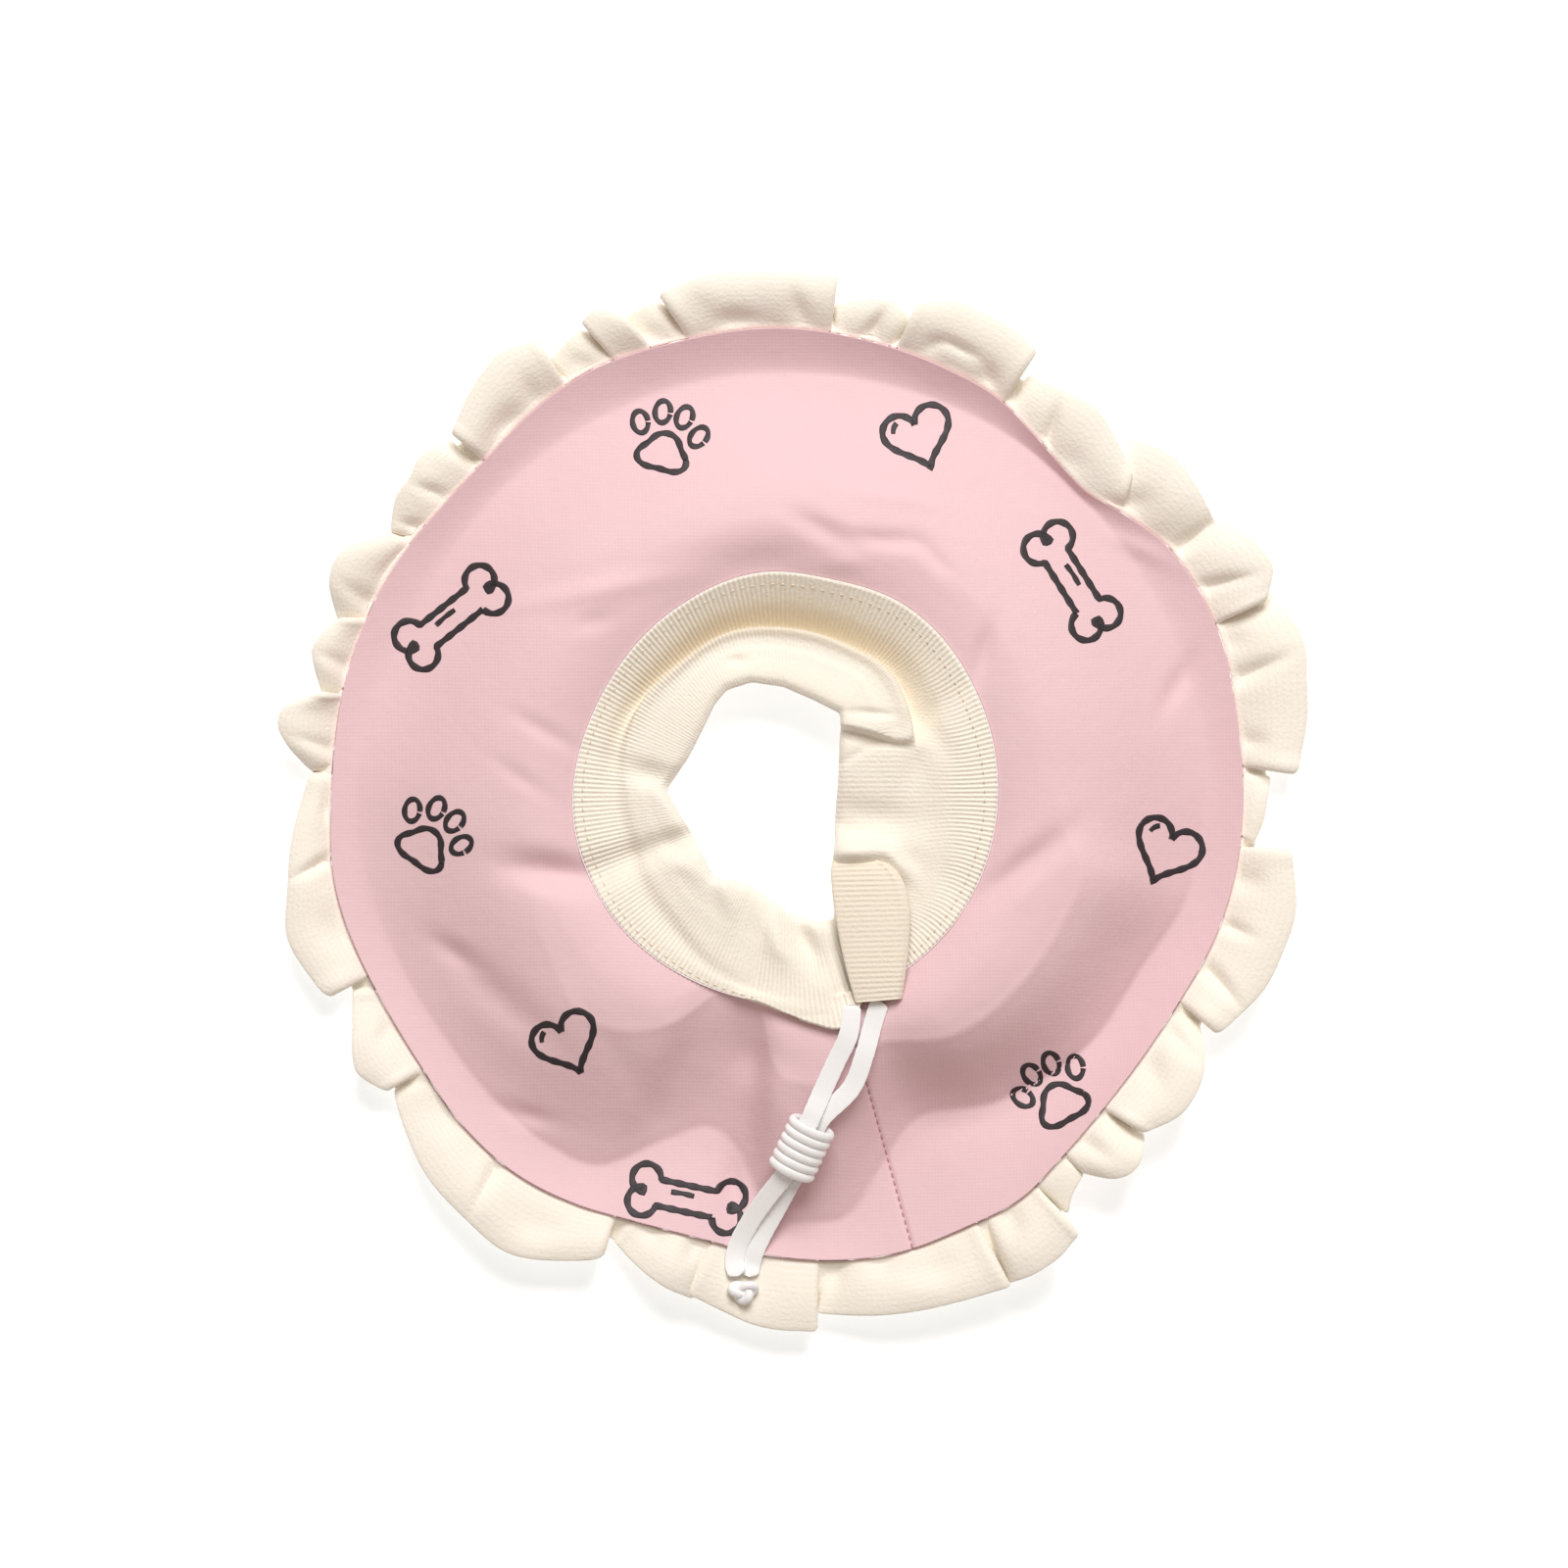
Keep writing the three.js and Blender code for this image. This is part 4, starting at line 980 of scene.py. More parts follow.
def make_ruffle(material):
    """The folded strip: each line bends up or down from the rim seam to the free edge, small gathers fade
    from the seam, and the cloth's two sides lie half its thickness off that surface round a soft free
    edge."""
    steps, rows, under_count = 1900, 24, 14
    below_rim = 2.0
    floor_clearance = 0.05
    seam_angle, edge_angle, edge_radius, rise = ruffle_lines().T
    level = cone_top(rim_at(seam_angle), seam_angle) - below_rim
    edge = polar(edge_radius, edge_angle, level + np.maximum(rise, RUFFLE_THICKNESS / 2 + 0.1 - level))
    turn = np.radians(seam_angle)
    curve, strip_length = closed_curve(
        np.concatenate([edge, np.cos(turn)[:, None], np.sin(turn)[:, None], level[:, None]], axis=1), steps
    )
    free_edge, seam_level = curve[:, :3], curve[:, 5]
    seam_angle = np.degrees(np.arctan2(curve[:, 4], curve[:, 3]))
    seam = polar(rim_at(seam_angle) + SEAM_GAP, seam_angle, seam_level)
    across = np.linspace(0, 1, rows)
    bend = across**0.95
    lift = np.sin(across * np.pi * 0.6) ** 0.9 / np.sin(np.pi * 0.6) ** 0.9
    middle = seam[:, None] + (free_edge - seam)[:, None] * bend[None, :, None]
    middle[..., 2] = seam_level[:, None] + (free_edge[:, 2] - seam_level)[:, None] * lift[None]
    along = np.linspace(0, strip_length, steps, endpoint=False)
    gathers = wave_sum(GATHER_WAVES, along / strip_length * 360)
    near_rim = np.exp(-((across / 0.35) ** 2)) * ease(across, 0, 0.1)
    middle[..., 2] += GATHER_HEIGHT * gathers[:, None] * near_rim[None]
    frill = wave_sum(FRILL_WAVES, along / strip_length * 360)
    middle[..., 2] += FRILL_HEIGHT * frill[:, None] * np.sin(np.pi * across)[None]
    middle[..., 2] -= strip_dents(np.degrees(np.arctan2(middle[..., 1], middle[..., 0])), across)
    normal = surface_normals(middle, ring_rows=True, ring_columns=False)
    normal *= np.sign(normal[..., 2].mean())
    half = RUFFLE_THICKNESS / 2 * (1 + 0.25 * np.sin(np.pi * across))
    top = middle + normal * half[None, :, None]
    under = middle - normal * half[None, :, None]
    outward = unit(middle[:, -1] - middle[:, -2])
    lip_turn = np.linspace(np.pi / 2, -np.pi / 2, 7)[1:-1]
    lip = section_at(outward, normal[:, -1], np.cos(lip_turn), np.sin(lip_turn))
    under_rows = np.linspace(rows - 1, 0, under_count).astype(int)
    points = np.concatenate([top, middle[:, -1:] + half[-1] * lip, under[:, under_rows]], axis=1)
    points[..., 2] = np.maximum(points[..., 2], floor_clearance)
    quads = grid_quads(*points.shape[:2])
    cloth = grid_cloth(np.linspace(0, strip_length, steps + 1), run_across(points))
    piece = add_piece("gathered_ruffle", points, quads, material, ("ruffle",), cloth)
    return piece


# The neck cuff

# The ring's ribs are counted once round it, and are a pitch apart on its cloth.
CUFF_THICKNESS = 2.4
CUFF_RIBS = 264
RIB_HEIGHT = 0.2
RIB_PITCH = 1.3
# The opening's outline: corners of the gathered edge seen from above.
OPENING = table(
    "x y",
    [
        (13.4, 4), (13.6, 14), (13.7, 21.2), (6.8, 24.8), (-1.2, 28.2), (-9.2, 29.3), (-15.5, 27.3),
        (-18.5, 23.8), (-22.6, 15.6), (-25.8, 9.2), (-30.9, 1.6), (-29.8, -0.8), (-23.6, -11), (-18.5, -20.9),
        (-14.5, -21.3), (-9.3, -22.8), (-4.5, -26.2), (1.8, -30.6), (8, -32), (12.3, -31.8), (11.5, -24.5),
        (11.8, -17.5), (12.6, -6.4),
    ],
)
# A row for each section of the cuff: how far its outer edge spreads past the seam, 1 where it lies over the
# cone and not against it, the radius of its crease, how far inside that the roll's shoulder is (below zero
# where the roll hangs over the crease), the heights over the seam of the crease, the shoulder, the roll's
# middle, its inner side and the gathered edge, and how far the roll sinks just inside its shoulder.
CUFF_ROWS = table(
    "at flare over crease wall crease_z shoulder_z middle_z inner_z edge_z dip",
    [
        (0, 0, 0, 38, 2, -3.6, -1.6, -0.6, 0.4, -1.2, 0),
        (20, 0, 0, 35.8, 1.6, -3.6, 0, 1.4, 2.2, 1.0, 0.1),
        (30, 0, 0, 36.8, 0.2, -6.0, 0, 1.4, 2.2, 1.0, 0.3),
        (40, 0, 0, 38.4, -0.5, -8.2, -0.6, 0.8, 1.8, 0.4, 0.45),
        (50, 0, 0, 40.2, -0.7, -9.6, -0.9, 0.2, 1.3, 0.2, 0.55),
        (66, 0, 0, 40.4, -0.8, -10.6, -1.1, -0.3, 1.1, 0.2, 0.6),
        (89, 0, 0, 41.8, -0.8, -11.0, -1.3, -0.8, 0.8, 0, 0.6),
        (110, 0, 0, 43.4, -0.7, -10.2, -1.4, -0.9, 0.6, -0.2, 0.55),
        (130, 0, 0, 42.8, -0.5, -8.8, -1.4, -0.9, 0.2, -0.6, 0.45),
        (146, 0, 0, 43.9, 0.0, -6.8, -1.6, -0.8, 0.0, -0.8, 0.3),
        (157, 0, 0, 44.6, 1.4, -4.4, -1.8, -0.8, -0.1, -1.0, 0.15),
        (170, 0, 0, 44.2, 2.4, -3.4, -1.7, -0.8, -0.3, -1.6, 0),
        (180, 0, 0, 43.2, 2.8, -3.0, -1.5, -0.6, -0.3, -1.6, 0),
        (195, 0, 0, 42.0, 2.8, -2.6, -1.2, -0.2, 0.1, -1.2, 0),
        (211, 0, 0, 42.8, 2.8, -2.0, -0.9, 0.1, 0.4, -1.2, 0),
        (232, 0, 0, 44.6, 2.8, -1.4, -0.3, 0.5, 0.1, -1.6, 0),
        (244, 0, 0.1, 47.0, 2.6, -0.5, 0.1, 0.4, -0.4, -2.2, 0),
        (254, 0, 0.4, 48.5, 2.8, 0.4, 0.6, 0.4, -0.4, -2.6, 0),
        (262, 0, 1, 49.5, 3, 1.2, 1.0, 1.0, -0.4, -2.2, 0),
        (270, 2.4, 1, 50.5, 3, 1.8, 1.4, 1.0, -0.5, -2.4, 0),
        (277, 5.2, 1, 51.5, 3, 2.3, 1.9, 1.3, -0.4, -2.4, 0),
        (283, 7.2, 1, 52.4, 3, 2.5, 2.4, 1.4, 0.4, -1.8, 0),
        (287, 5.4, 1, 51.4, 3, 2.0, 2.0, 1.2, 0.2, -2.0, 0),
        (292, 0, 1, 48, 2.6, 0.2, 0.2, 0, -0.4, -2.2, 0),
        (302, 0, 0.2, 45, 2.2, -0.8, -0.6, -0.6, -1.0, -2.4, 0),
        (330, 0, 0, 40, 2, -2.6, -1.6, -1.0, -1.0, -2.4, 0),
    ],
)
# The shares of the section's rows at which its eight guide lines lie, from the outer to the gathered edge.
GUIDE_PLACES = np.array([0, 0.15, 0.28, 0.36, 0.44, 0.68, 0.91, 1])
# Where the ring isn't rolled, on its right side, the guide lines have these heights all along.
FLAT_HEIGHTS = np.array([-0.3, -0.6, -1.2, -1.4, -1.6, -1.9, -2.0, -3.0])
# The lip where the roll ends over the flat side: the line of its nose.
ROLL_END = table(
    "x y",
    [(10, 18.2), (15.2, 17.2), (21.3, 15.7), (27.4, 13.7), (31, 13.4), (34, 15), (44, 20)],
)
# Dents and ridges of the cuff: middle, half length and half width, turn of its length from +X, and depth.
CUFF_DENTS = table(
    "x y along wide turn deep",
    [
        (-34.5, 5.0, 6.5, 3.0, -14, 2.2),
        (-27.5, 3.0, 4.0, 2.0, 20, 0.8),
        (-24.6, -13.0, 7.0, 2.4, 20, 1.6),
        (-27.0, -17.5, 8.0, 2.4, -30, -0.7),
        (-15.5, -24.5, 6.0, 2.4, -75, -1.2),
        (4.5, -37.0, 8.0, 3.0, -62, 3.2),
        (-2.5, -37.5, 7.0, 2.6, -66, -1.2),
        (21.0, 20.9, 5.0, 1.1, -4, 1.3),
        (22.0, 14.2, 8.0, 1.6, -8, 0.9),
        (-12.4, 34.2, 2.4, 1.3, 0, 0.9),
        (21, -5.6, 11.0, 4.0, -4, 1.8),
        (18.0, -14.2, 8.5, 3.2, 4, -5.6),
        (28.5, -17.5, 5.0, 2.4, -50, -3.0),
        (33.0, 8.0, 9.0, 3.0, 70, 0.8),
        (36.0, -20.0, 16.0, 4.0, -70, -0.5),
        (38.5, 14.0, 5.0, 2.6, -60, 1.0),
    ],
)


def opening_at(angle):
    """The gathered edge's radius: straight runs between the opening's corners, each where a ray from the
    middle crosses it, softened by a bell curve over a few degrees."""
    fine = np.arange(0, 720) / 2
    corner_angle = np.degrees(np.arctan2(OPENING["y"], OPENING["x"])) % 360
    order = np.argsort(corner_angle)
    corners = np.stack([OPENING["x"], OPENING["y"]], axis=-1)[order]
    corner_angle = corner_angle[order]
    after = np.searchsorted(corner_angle, fine) % len(corners)
    first, second = corners[after - 1], corners[after]
    ray = polar(1.0, fine, 0.0)[:, :2]
    side = second - first
    from_middle = first[:, 0] * side[:, 1] - first[:, 1] * side[:, 0]
    radius = from_middle / (ray[:, 0] * side[:, 1] - ray[:, 1] * side[:, 0])
    shifts = np.arange(-6, 7)
    weights = np.exp(-((shifts / 2.6) ** 2))
    soft = sum(weight * np.roll(radius, shift) for weight, shift in zip(weights, shifts)) / weights.sum()
    return np.interp(np.mod(angle, 360), np.append(fine, 360), np.append(soft, soft[0]))


def cuff_sections(angle, steps):
    """Radius and two heights of the cuff's upper side at each angle: from the outer edge down to the crease,
    up the roll's outer wall, over the roll and down to the gathered edge; and the same without the roll."""
    inner = neck_at(angle) - SEAM_GAP
    level = panel_top(0.0, angle) + 0.9
    flare, over, crease, wall, crease_z, shoulder_z, middle_z, inner_z, edge_z, dip = (
        around(CUFF_ROWS, name, angle) for name in CUFF_ROWS.dtype.names[1:]
    )
    over = np.clip(over, 0, 1)
    outer = inner + np.maximum(0, flare)
    shoulder = crease - wall
    edge = opening_at(angle)
    outer_z = over * (CUFF_THICKNESS + 2 * SEAM_GAP) - (1 - over) * 0.3
    inner_roll = edge + np.minimum(1.4, 0.2 * (shoulder - edge))
    guides = [
        (outer, outer_z),
        (outer * 0.5 + crease * 0.5, outer_z * 0.5 + crease_z * 0.5 + 0.3),
        (crease, crease_z),
        (shoulder, shoulder_z),
        (shoulder * 0.8 + inner_roll * 0.2, (shoulder_z + middle_z) / 2 - dip),
        (shoulder * 0.5 + inner_roll * 0.5, middle_z),
        (inner_roll, inner_z),
        (edge, edge_z),
    ]
    radii = np.stack([guide[0] for guide in guides], axis=-1)
    rolled = np.stack([guide[1] for guide in guides], axis=-1) + level[:, None]
    flat = FLAT_HEIGHTS[None] + level[:, None]
    wanted = np.linspace(0, 1, steps)
    matrix = np.stack([smooth_between(GUIDE_PLACES, one, wanted) for one in np.eye(len(guides))], axis=0)
    return radii @ matrix, rolled @ matrix, flat @ matrix, inner, over


def roll_share(x, y, angle):
    """1 where the ring is rolled and 0 on its flat right side, with a step along the roll's end on the far
    side and a slow change on the near one."""
    line = np.interp(x, ROLL_END["x"], ROLL_END["y"])
    width = 0.9 + 0.6 * np.clip(x - 30, 0, 20)
    past_end = ease(y, line - width, line + width)
    round_left = ease(angle, 56, 64) * (1 - ease(angle, 280, 292))
    return np.maximum(np.where(angle < 64, past_end, 0), round_left)


def cuff_dents(x, y):
    """The depth of all the cuff's dents and ridges at a place."""
    depth = np.zeros(x.shape)
    for dent in CUFF_DENTS:
        depth += bell(x - dent["x"], y - dent["y"], math.radians(dent["turn"]), dent)
    return depth


def rib_places(x, y, angle, inner):
    """How many ribs have been passed at each place, counted round from +X: even turns along the rolled ring,
    and straight rows across its flat right side, where the knit isn't gathered."""
    turn = np.where(angle > 180, angle - 360, angle)
    even = np.broadcast_to((CUFF_RIBS / 360 * turn)[:, None], x.shape)
    straight = CUFF_RIBS / (2 * np.pi) * y / inner.mean()
    near_right = 1 - ease(np.abs(turn), 30, 62)[:, None]
    off_seam = 1 - ease(np.hypot(x, y), 30, 50)
    count = even + (straight - even) * near_right * off_seam
    return np.where(angle[:, None] > 180, count + CUFF_RIBS, count)


def make_cuff(material):
    """The knit ring: its upper side with raised ribs that run from the seam to the gathered edge, a soft
    edge, and its plain underside."""
    stations, steps, under_count = CUFF_RIBS * 4, 64, 20
    angle = np.arange(stations) * 360 / stations
    radius, rolled, flat, inner, over = cuff_sections(angle, steps)
    top = polar(radius, angle[:, None], rolled)
    share = roll_share(top[..., 0], top[..., 1], np.broadcast_to(angle[:, None], radius.shape))
    top[..., 2] = flat + (rolled - flat) * share
    top[..., 2] -= cuff_dents(top[..., 0], top[..., 1])
    lying = (radius > (inner - 1.0)[:, None]) & (over > 0.5)[:, None]
    floor = panel_height(top[..., 0], top[..., 1]) + 2 * SEAM_GAP
    top[..., 2] = np.where(lying, np.maximum(top[..., 2], floor + CUFF_THICKNESS), top[..., 2])
    normal = surface_normals(top, ring_rows=True, ring_columns=False)
    normal *= np.sign(normal[..., 2].mean())
    across = np.linspace(0, 1, steps)
    under = top - normal * (CUFF_THICKNESS * (1 + 0.15 * np.sin(np.pi * across)))[None, :, None]
    under_radius = np.hypot(under[..., 0], under[..., 1])
    inside = np.minimum(under_radius, inner[:, None])
    shrink = np.where(lying, 1.0, inside / np.maximum(under_radius, 1e-6))
    under[..., :2] *= shrink[..., None]
    under[..., 2] = np.where(lying, np.maximum(under[..., 2], floor), under[..., 2])
    rib_count = rib_places(top[..., 0], top[..., 1], angle, inner)
    fade = 0.15 + 0.85 * ease(radius, 38, 45)
    top += normal * (RIB_HEIGHT * np.cos(2 * np.pi * rib_count) * fade)[..., None]
    lip_turn = np.linspace(0, np.pi, 6)[1:-1]
    centre = (top[:, -1] + under[:, -1]) / 2
    arm = (top[:, -1] - under[:, -1]) / 2
    ahead = unit(top[:, -1] - top[:, -2])
    lip = (
        centre[:, None]
        + np.cos(lip_turn)[None, :, None] * arm[:, None]
        + np.sin(lip_turn)[None, :, None] * CUFF_THICKNESS / 2 * ahead[:, None]
    )
    under_rows = np.linspace(steps - 1, 0, under_count).astype(int)
    points = np.concatenate([top, lip, under[:, under_rows]], axis=1)
    quads = grid_quads(*points.shape[:2])
    lip_count = np.repeat(rib_count[:, -1:], lip.shape[1], axis=1)
    counts = np.concatenate([rib_count, lip_count, rib_count[:, under_rows], rib_count[:, :1]], axis=1)
    counts = np.concatenate([counts, counts[:1] + CUFF_RIBS])
    cloth = grid_cloth(RIB_PITCH * counts, run_across(points))
    piece = add_piece("neck_cuff_knit", points, quads, material, ("neck_cuff",), cloth)
    return top[:, 4]


# The folded-down end of the cuff: for each row its left and right edge and its height above the seam.
FOLDED_END = table(
    "left_x left_y right_x right_y up",
    [
        (12.6, -13.0, 17.0, -12.6, -2.4),
        (12.0, -14.8, 20.0, -14.2, -0.6),
        (11.5, -16.8, 23.8, -16.2, 0.8),
        (11.2, -19.0, 27.2, -18.4, 1.9),
        (11.3, -22.5, 29.8, -22.2, 2.8),
        (12.1, -29.5, 31.2, -29.0, 3.7),
        (13.6, -38.0, 31.0, -37.5, 4.4),
        (15.4, -45.6, 30.1, -45.2, 4.9),
        (17.3, -52.4, 29.2, -51.4, 4.8),
    ],
)


def make_folded_end(material):
    """The tongue of knit: a crowned band between its two edges with ribs straight across it, wrapped round
    its crisp edges to a plain underside."""
    rows, columns = 190, 34
    thick = 1.9
    rib_rise = 0.1
    taper = 0.97
    spots = np.linspace(0, 1, len(FOLDED_END))
    wanted = np.linspace(0, 1, rows)
    left_x, left_y, right_x, right_y, up = (
        smooth_between(spots, FOLDED_END[name], wanted) for name in FOLDED_END.dtype.names
    )
    base = float(panel_top(0.0, np.array([285.0]))[0])
    share = np.linspace(0, 1, columns)
    x = left_x[:, None] + (right_x - left_x)[:, None] * share
    y = left_y[:, None] + (right_y - left_y)[:, None] * share
    crown = 0.9 * np.sin(np.pi * share) ** 0.6 - 0.5 * share**6 + 0.5 * np.exp(-(((share - 0.9) / 0.05) ** 2))
    z = base + up[:, None] + crown[None]
    length = run_along(np.stack([x[:, 12], y[:, 12]], axis=-1))
    ribs = rib_rise * np.cos(2 * np.pi * length / RIB_PITCH)[:, None] * np.sin(np.pi * share)[None] ** 0.3
    top = np.stack([x, y, z + ribs], axis=-1)
    under = np.stack([x, y, z - thick], axis=-1)
    points = np.concatenate([top, under[:, ::-1]], axis=1)
    ends = points.mean(axis=1, keepdims=True)
    points[[0, -1]] = ends[[0, -1]] + (points[[0, -1]] - ends[[0, -1]]) * taper
    quads = grid_quads(rows, 2 * columns, ring_rows=False)
    cloth = grid_cloth(length, run_across(points))
    points, quads, cloth = close_ends(points, quads, cloth)
    return add_piece("folded_cuff_end", points, quads, material, (), cloth)


# Printed marks: line drawings in the marks' own plane, in millimetres

# The widths of their lines, the greatest distance between a line's places, how far its upper side is over the
# fabric and its lower side under it, and how far its two edges are over it.
OUTLINE_WIDTH, GLINT_WIDTH, PAD_WIDTH, TOE_WIDTH = 1.7, 1.3, 1.6, 1.4
LINE_STEP = 0.5
MARK_RISE = 0.12
MARK_SINK = 0.25
EDGE_RISE = 0.02


def bone_strokes():
    """A bone's outline: two rounded knobs at each end of a straight shaft, and a short line on the shaft."""
    turn = np.radians(np.linspace(-130, 130, 22))
    knob, reach, spread, splay = 3.1, 9.2, 2.4, 0.75
    lower, upper = (
        np.stack(
            [reach + knob * np.cos(turn + side * splay), side * spread + knob * np.sin(turn + side * splay)],
            axis=-1,
        )
        for side in (-1, 1)
    )
    right = np.concatenate([lower, upper])
    left = np.stack([-right[:, 0], -right[:, 1]], axis=-1)
    outline = np.concatenate([right, left, right[:1]])
    glint = np.array([(-3.5, 0.7), (-1.0, 0.9), (1.5, 0.8)])
    return [(outline, OUTLINE_WIDTH), (glint, GLINT_WIDTH)]


def heart_strokes():
    """A heart's outline: the usual curve of sines and cosines, closed at its point."""
    turn = np.linspace(0, 2 * np.pi, 50)
    x = 16 * np.sin(turn) ** 3
    y = 13 * np.cos(turn) - 5 * np.cos(2 * turn) - 2 * np.cos(3 * turn) - np.cos(4 * turn)
    glint_turn = np.radians(np.linspace(115, 170, 8))
    glint = np.stack([-2.2 + 2.4 * np.cos(glint_turn), 1.4 + 2.4 * np.sin(glint_turn)], axis=-1)
    scale = 0.42
    return [(np.stack([x, y], axis=-1) * scale, OUTLINE_WIDTH), (glint, GLINT_WIDTH)]


def paw_strokes():
    """A paw print in outline: a broad rounded pad under four small ovals."""
    turn = np.linspace(0, 2 * np.pi, 40)
    pad_radius = 4.4 + 0.7 * np.cos(3 * turn + np.pi / 2)
    pad = np.stack([1.1 * pad_radius * np.cos(turn), -2.2 + 0.85 * pad_radius * np.sin(turn)], axis=-1)
    strokes = [(pad, PAD_WIDTH)]
    oval = np.stack([1.6 * np.cos(turn[::2]), 2.3 * np.sin(turn[::2])], axis=-1)
    for x, y, tilt in ((-6.2, 3.0, 25), (-2.3, 6.2, 8), (2.3, 6.2, -8), (6.2, 3.0, -25)):
        strokes.append((turned(oval, math.radians(tilt)) + (x, y), TOE_WIDTH))
    return strokes


# Each mark: its strokes, the angle and radius of its place on the cone, its turn and its size.
MARKS = [
    (bone_strokes, 152, 97, 38, 1.25),
    (paw_strokes, 109, 95, -15, 1.25),
    (heart_strokes, 70, 98, 20, 1.3),
    (bone_strokes, 37, 91, -58, 1.25),
    (heart_strokes, 352, 98, -25, 1.3),
    (paw_strokes, 312, 103, 30, 1.25),
    (bone_strokes, 256, 106, -12, 1.2),
    (heart_strokes, 228, 84, 25, 1.25),
    (paw_strokes, 187, 92, -35, 1.25),
]


def ribbon(line, width, place, heading):
    """A drawn line laid on the cone: a flat strip with its upper side just above the fabric and its lower
    side just under it, following the fabric's height at each of its corners."""
    run = run_along(line)
    steps = max(12, int(run[-1] / LINE_STEP))
    even = np.linspace(0, run[-1], steps)
    path = np.stack([np.interp(even, run, column) for column in line.T], axis=-1)
    ahead = unit(np.gradient(path, axis=0))
    side = np.stack([-ahead[:, 1], ahead[:, 0]], axis=-1)
    offsets = width / 2 * np.array([-1, -0.8, -0.3, 0.3, 0.8, 1, 0.8, -0.8])
    heights = np.array([0, 1, 1, 1, 1, 0, -1, -1])
    press = 1 + 0.12 * np.sin(even * 1.7)
    flat = path[:, None] + offsets[None, :, None] * (press[:, None] * side)[:, None]
    laid = turned(flat, heading) + place
    ground = panel_height(laid[..., 0], laid[..., 1])
    rise = np.where(heights > 0, MARK_RISE, np.where(heights < 0, -MARK_SINK, EDGE_RISE))
    points = np.concatenate([laid, (ground + rise)[..., None]], axis=-1)
    quads = grid_quads(steps, len(offsets), ring_rows=False)
    return close_ends(points, quads)[:2]


def join(parts):
    """One set of points and faces from many, each with its faces turned outwards."""
    starts = np.cumsum([0] + [len(points) for points, _ in parts[:-1]])
    outward = [faces[:, ::-1] if volume_of(points, faces) < 0 else faces for points, faces in parts]
    return (
        np.concatenate([points for points, _ in parts]),
        np.concatenate([faces + start for faces, start in zip(outward, starts)]),
    )


def make_marks(material):
    """All printed marks, each drawn at its place on the cone."""
    parts = []
    for strokes, at, radius, turn, size in MARKS:
        angle = math.radians(at)
        place = np.array([radius * math.cos(angle), radius * math.sin(angle)])
        for line, width in strokes():
            parts.append(ribbon(size * line, width, place, math.radians(turn)))
    points, quads = join(parts)
    return add_piece("printed_marks", points, quads, material)


# Stitches


def stitch_row(starts, ends, thickness, arch):
    """Many short stitches: each a thin tube from its start to its end that arches over the cloth."""
    steps, sides = 7, 6
    share = np.linspace(0, 1, steps)
    middle = starts[:, None] + (ends - starts)[:, None] * share[None, :, None]
    middle[..., 2] += arch * np.sin(np.pi * share)[None]
    turn = np.linspace(0, 2 * np.pi, sides, endpoint=False)
    thick = thickness / 2 * np.array([0.3, 0.85, 1, 1, 1, 0.85, 0.3])
    ring = section_at(*flat_frames(ends - starts), np.cos(turn), np.sin(turn))
    points = middle[:, :, None] + thick[None, :, None, None] * ring[:, None]
    one = close_ends(points[0], grid_quads(steps, sides, ring_rows=False))[1]
    quads = (one[None] + (np.arange(len(starts)) * steps * sides)[:, None, None]).reshape(-1, 4)
    return points.reshape(-1, 3), quads


def make_closing_seam(material):
    """Stitches down the sunken seam that closes the cone into a ring."""
    first, last, pitch, length = 57, 119, 2.05, 1.45
    lift = 0.05
    starts = np.arange(first, last, pitch)
    turn = math.radians(CLOSING_SEAM)

    def on_cone(radius):
        x, y = radius * math.cos(turn), radius * math.sin(turn)
        return np.stack([x, y, panel_height(x, y) + lift], axis=-1)

    points, quads = stitch_row(on_cone(starts), on_cone(starts + length), thickness=0.42, arch=0.12)
    return add_piece("closing_seam_stitches", points, quads, material)


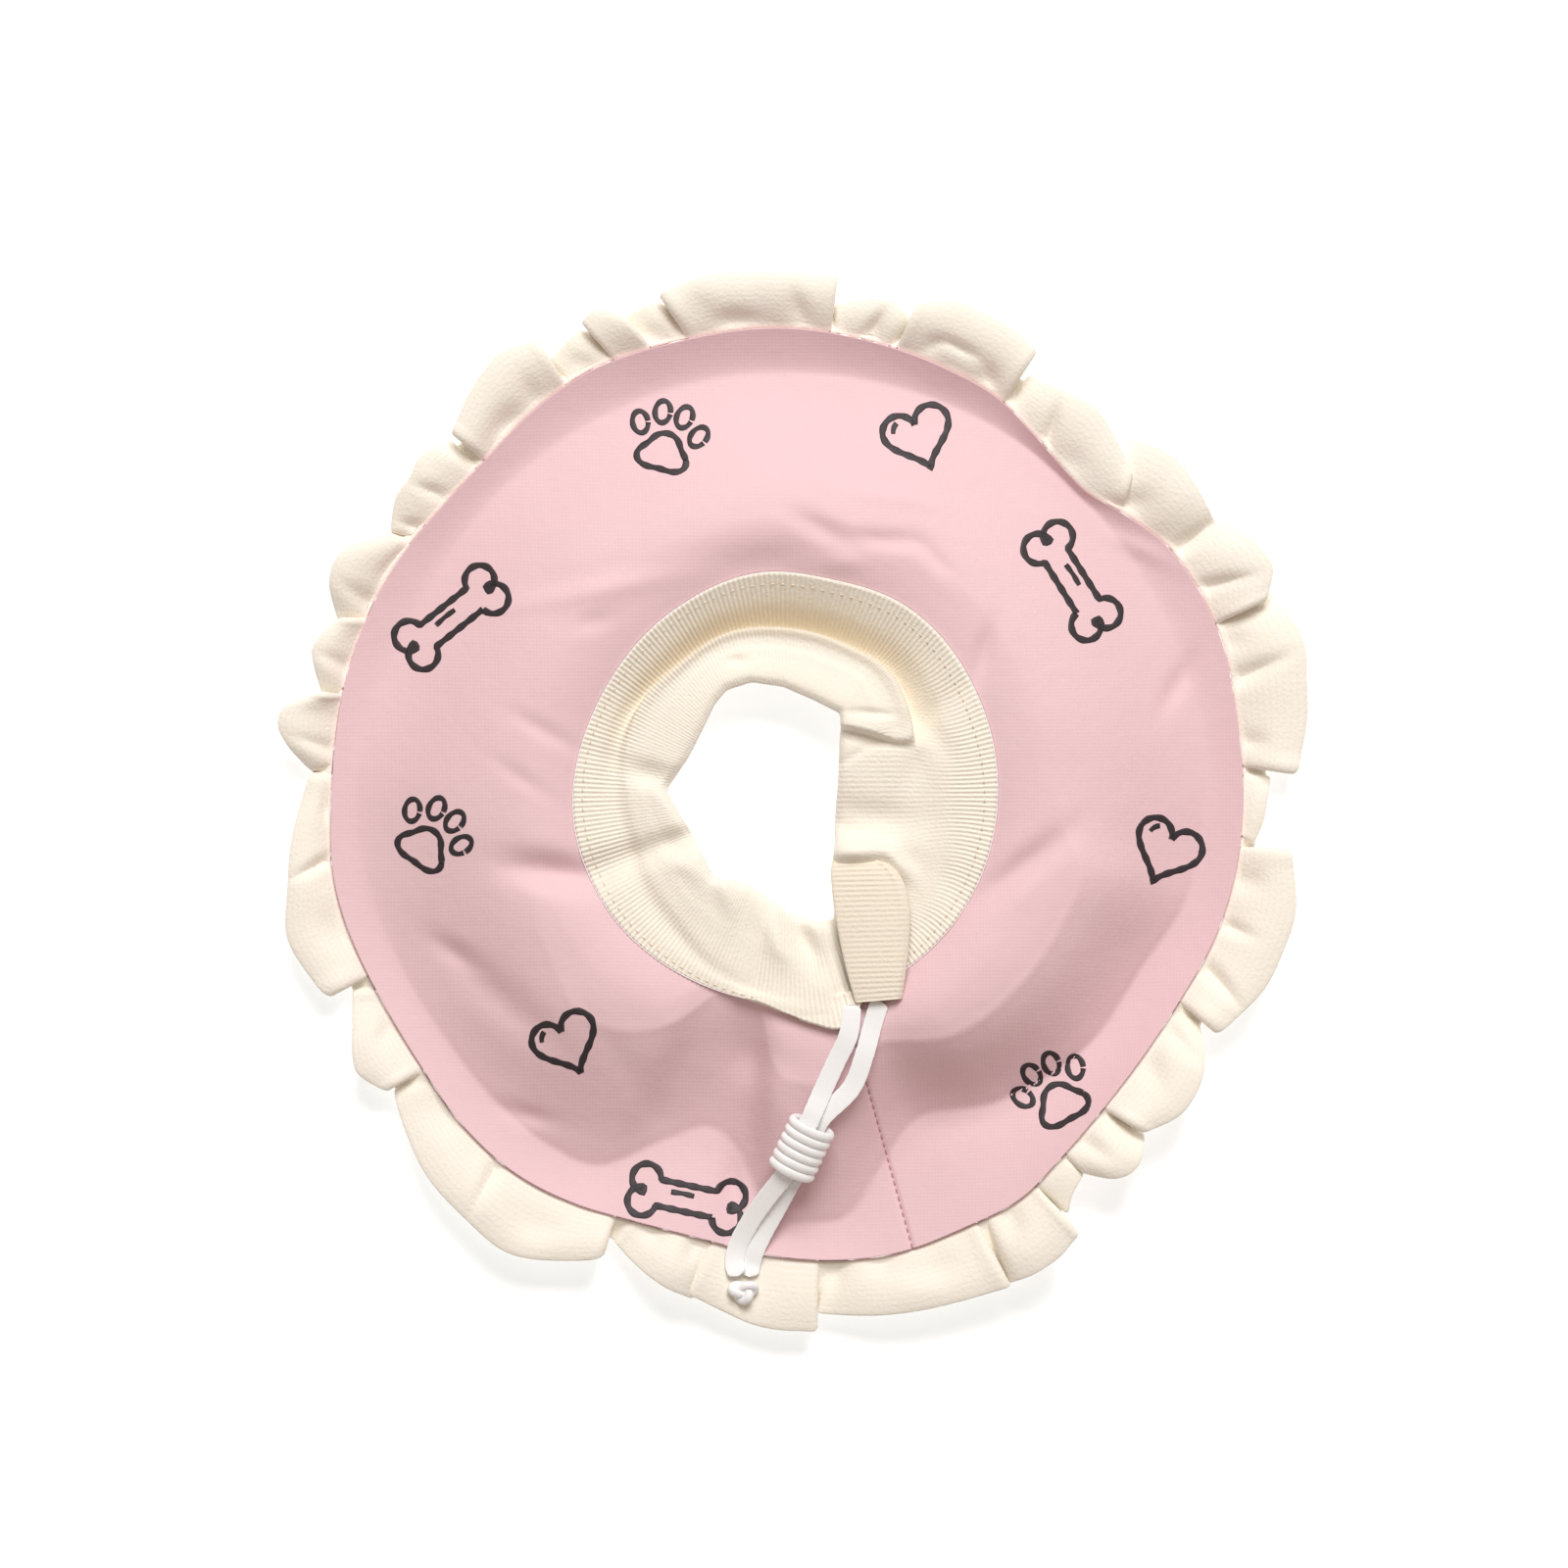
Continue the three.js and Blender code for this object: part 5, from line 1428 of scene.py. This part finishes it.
def make_neck_stitches(line, material):
    """Small stitches along the cuff's outer edge, in every second groove between ribs, where the cuff isn't
    spread over the cone."""
    groove, pitch, length = 2, 8, 3
    spread_from, spread_to = 262, 304
    lift = np.array([0, 0, 0.12])
    angle = np.degrees(np.arctan2(line[:, 1], line[:, 0])) % 360
    chosen = np.arange(groove, len(line), pitch)
    chosen = chosen[(angle[chosen] < spread_from) | (angle[chosen] > spread_to)]
    ends = line[(chosen + length) % len(line)]
    points, quads = stitch_row(line[chosen] + lift, ends + lift, thickness=0.45, arch=0.12)
    return add_piece("neck_seam_stitches", points, quads, material)


make_camera()
make_surroundings()

pink_fabric = make_pink_fabric()
ruffle_knit = make_knit(
    "cream_fine_knit", "Y", rib_pitch=1.25, rib_depth=0.000015, groove=0.09, yarn=linear(250, 245, 234)
)
# The cuff's knit carries painted shade: darker grooves between its ribs, and a brownish darkening along its
# crease on the far half.
cuff_knit = make_knit(
    "cream_rib_knit",
    "X",
    rib_pitch=RIB_PITCH,
    rib_depth=0.00003,
    groove=0.26,
    yarn=linear(247, 241, 229),
    inner=0.25,
    crease=0.55,
)
# Painted shade: the folded end's knit is a darker copy of the cream knit. Its yarn colour is darkened to
# stand for the shade the folded end lies in.
painted_shade_end_knit = make_knit(
    "cream_knit_painted_shade", "X", rib_pitch=RIB_PITCH, rib_depth=0.00002, groove=0.1, yarn=linear(235, 225, 208)
)
elastic = make_elastic()
plastic = make_plain("white_moulded_plastic", linear(254, 254, 254), roughness=0.35)
print_ink = make_plain("black_print", linear(46, 38, 42), roughness=0.6)
pink_thread = make_plain("rose_thread", linear(196, 142, 152), roughness=0.7)

lock = make_cord_lock(plastic)
knot = make_knot(elastic)
for name, route, node in (
    ("left_elastic", LEFT_STRAND, "drawcord_left"),
    ("right_elastic", RIGHT_STRAND, "drawcord_right"),
):
    strand, line, length = make_strand(name, route, (node,), elastic)

make_panel(pink_fabric)
make_ruffle(ruffle_knit)
cuff_line = make_cuff(cuff_knit)
make_folded_end(painted_shade_end_knit)
make_marks(print_ink)
make_closing_seam(pink_thread)
make_neck_stitches(cuff_line, make_plain("cream_thread", linear(234, 218, 198), roughness=0.8))
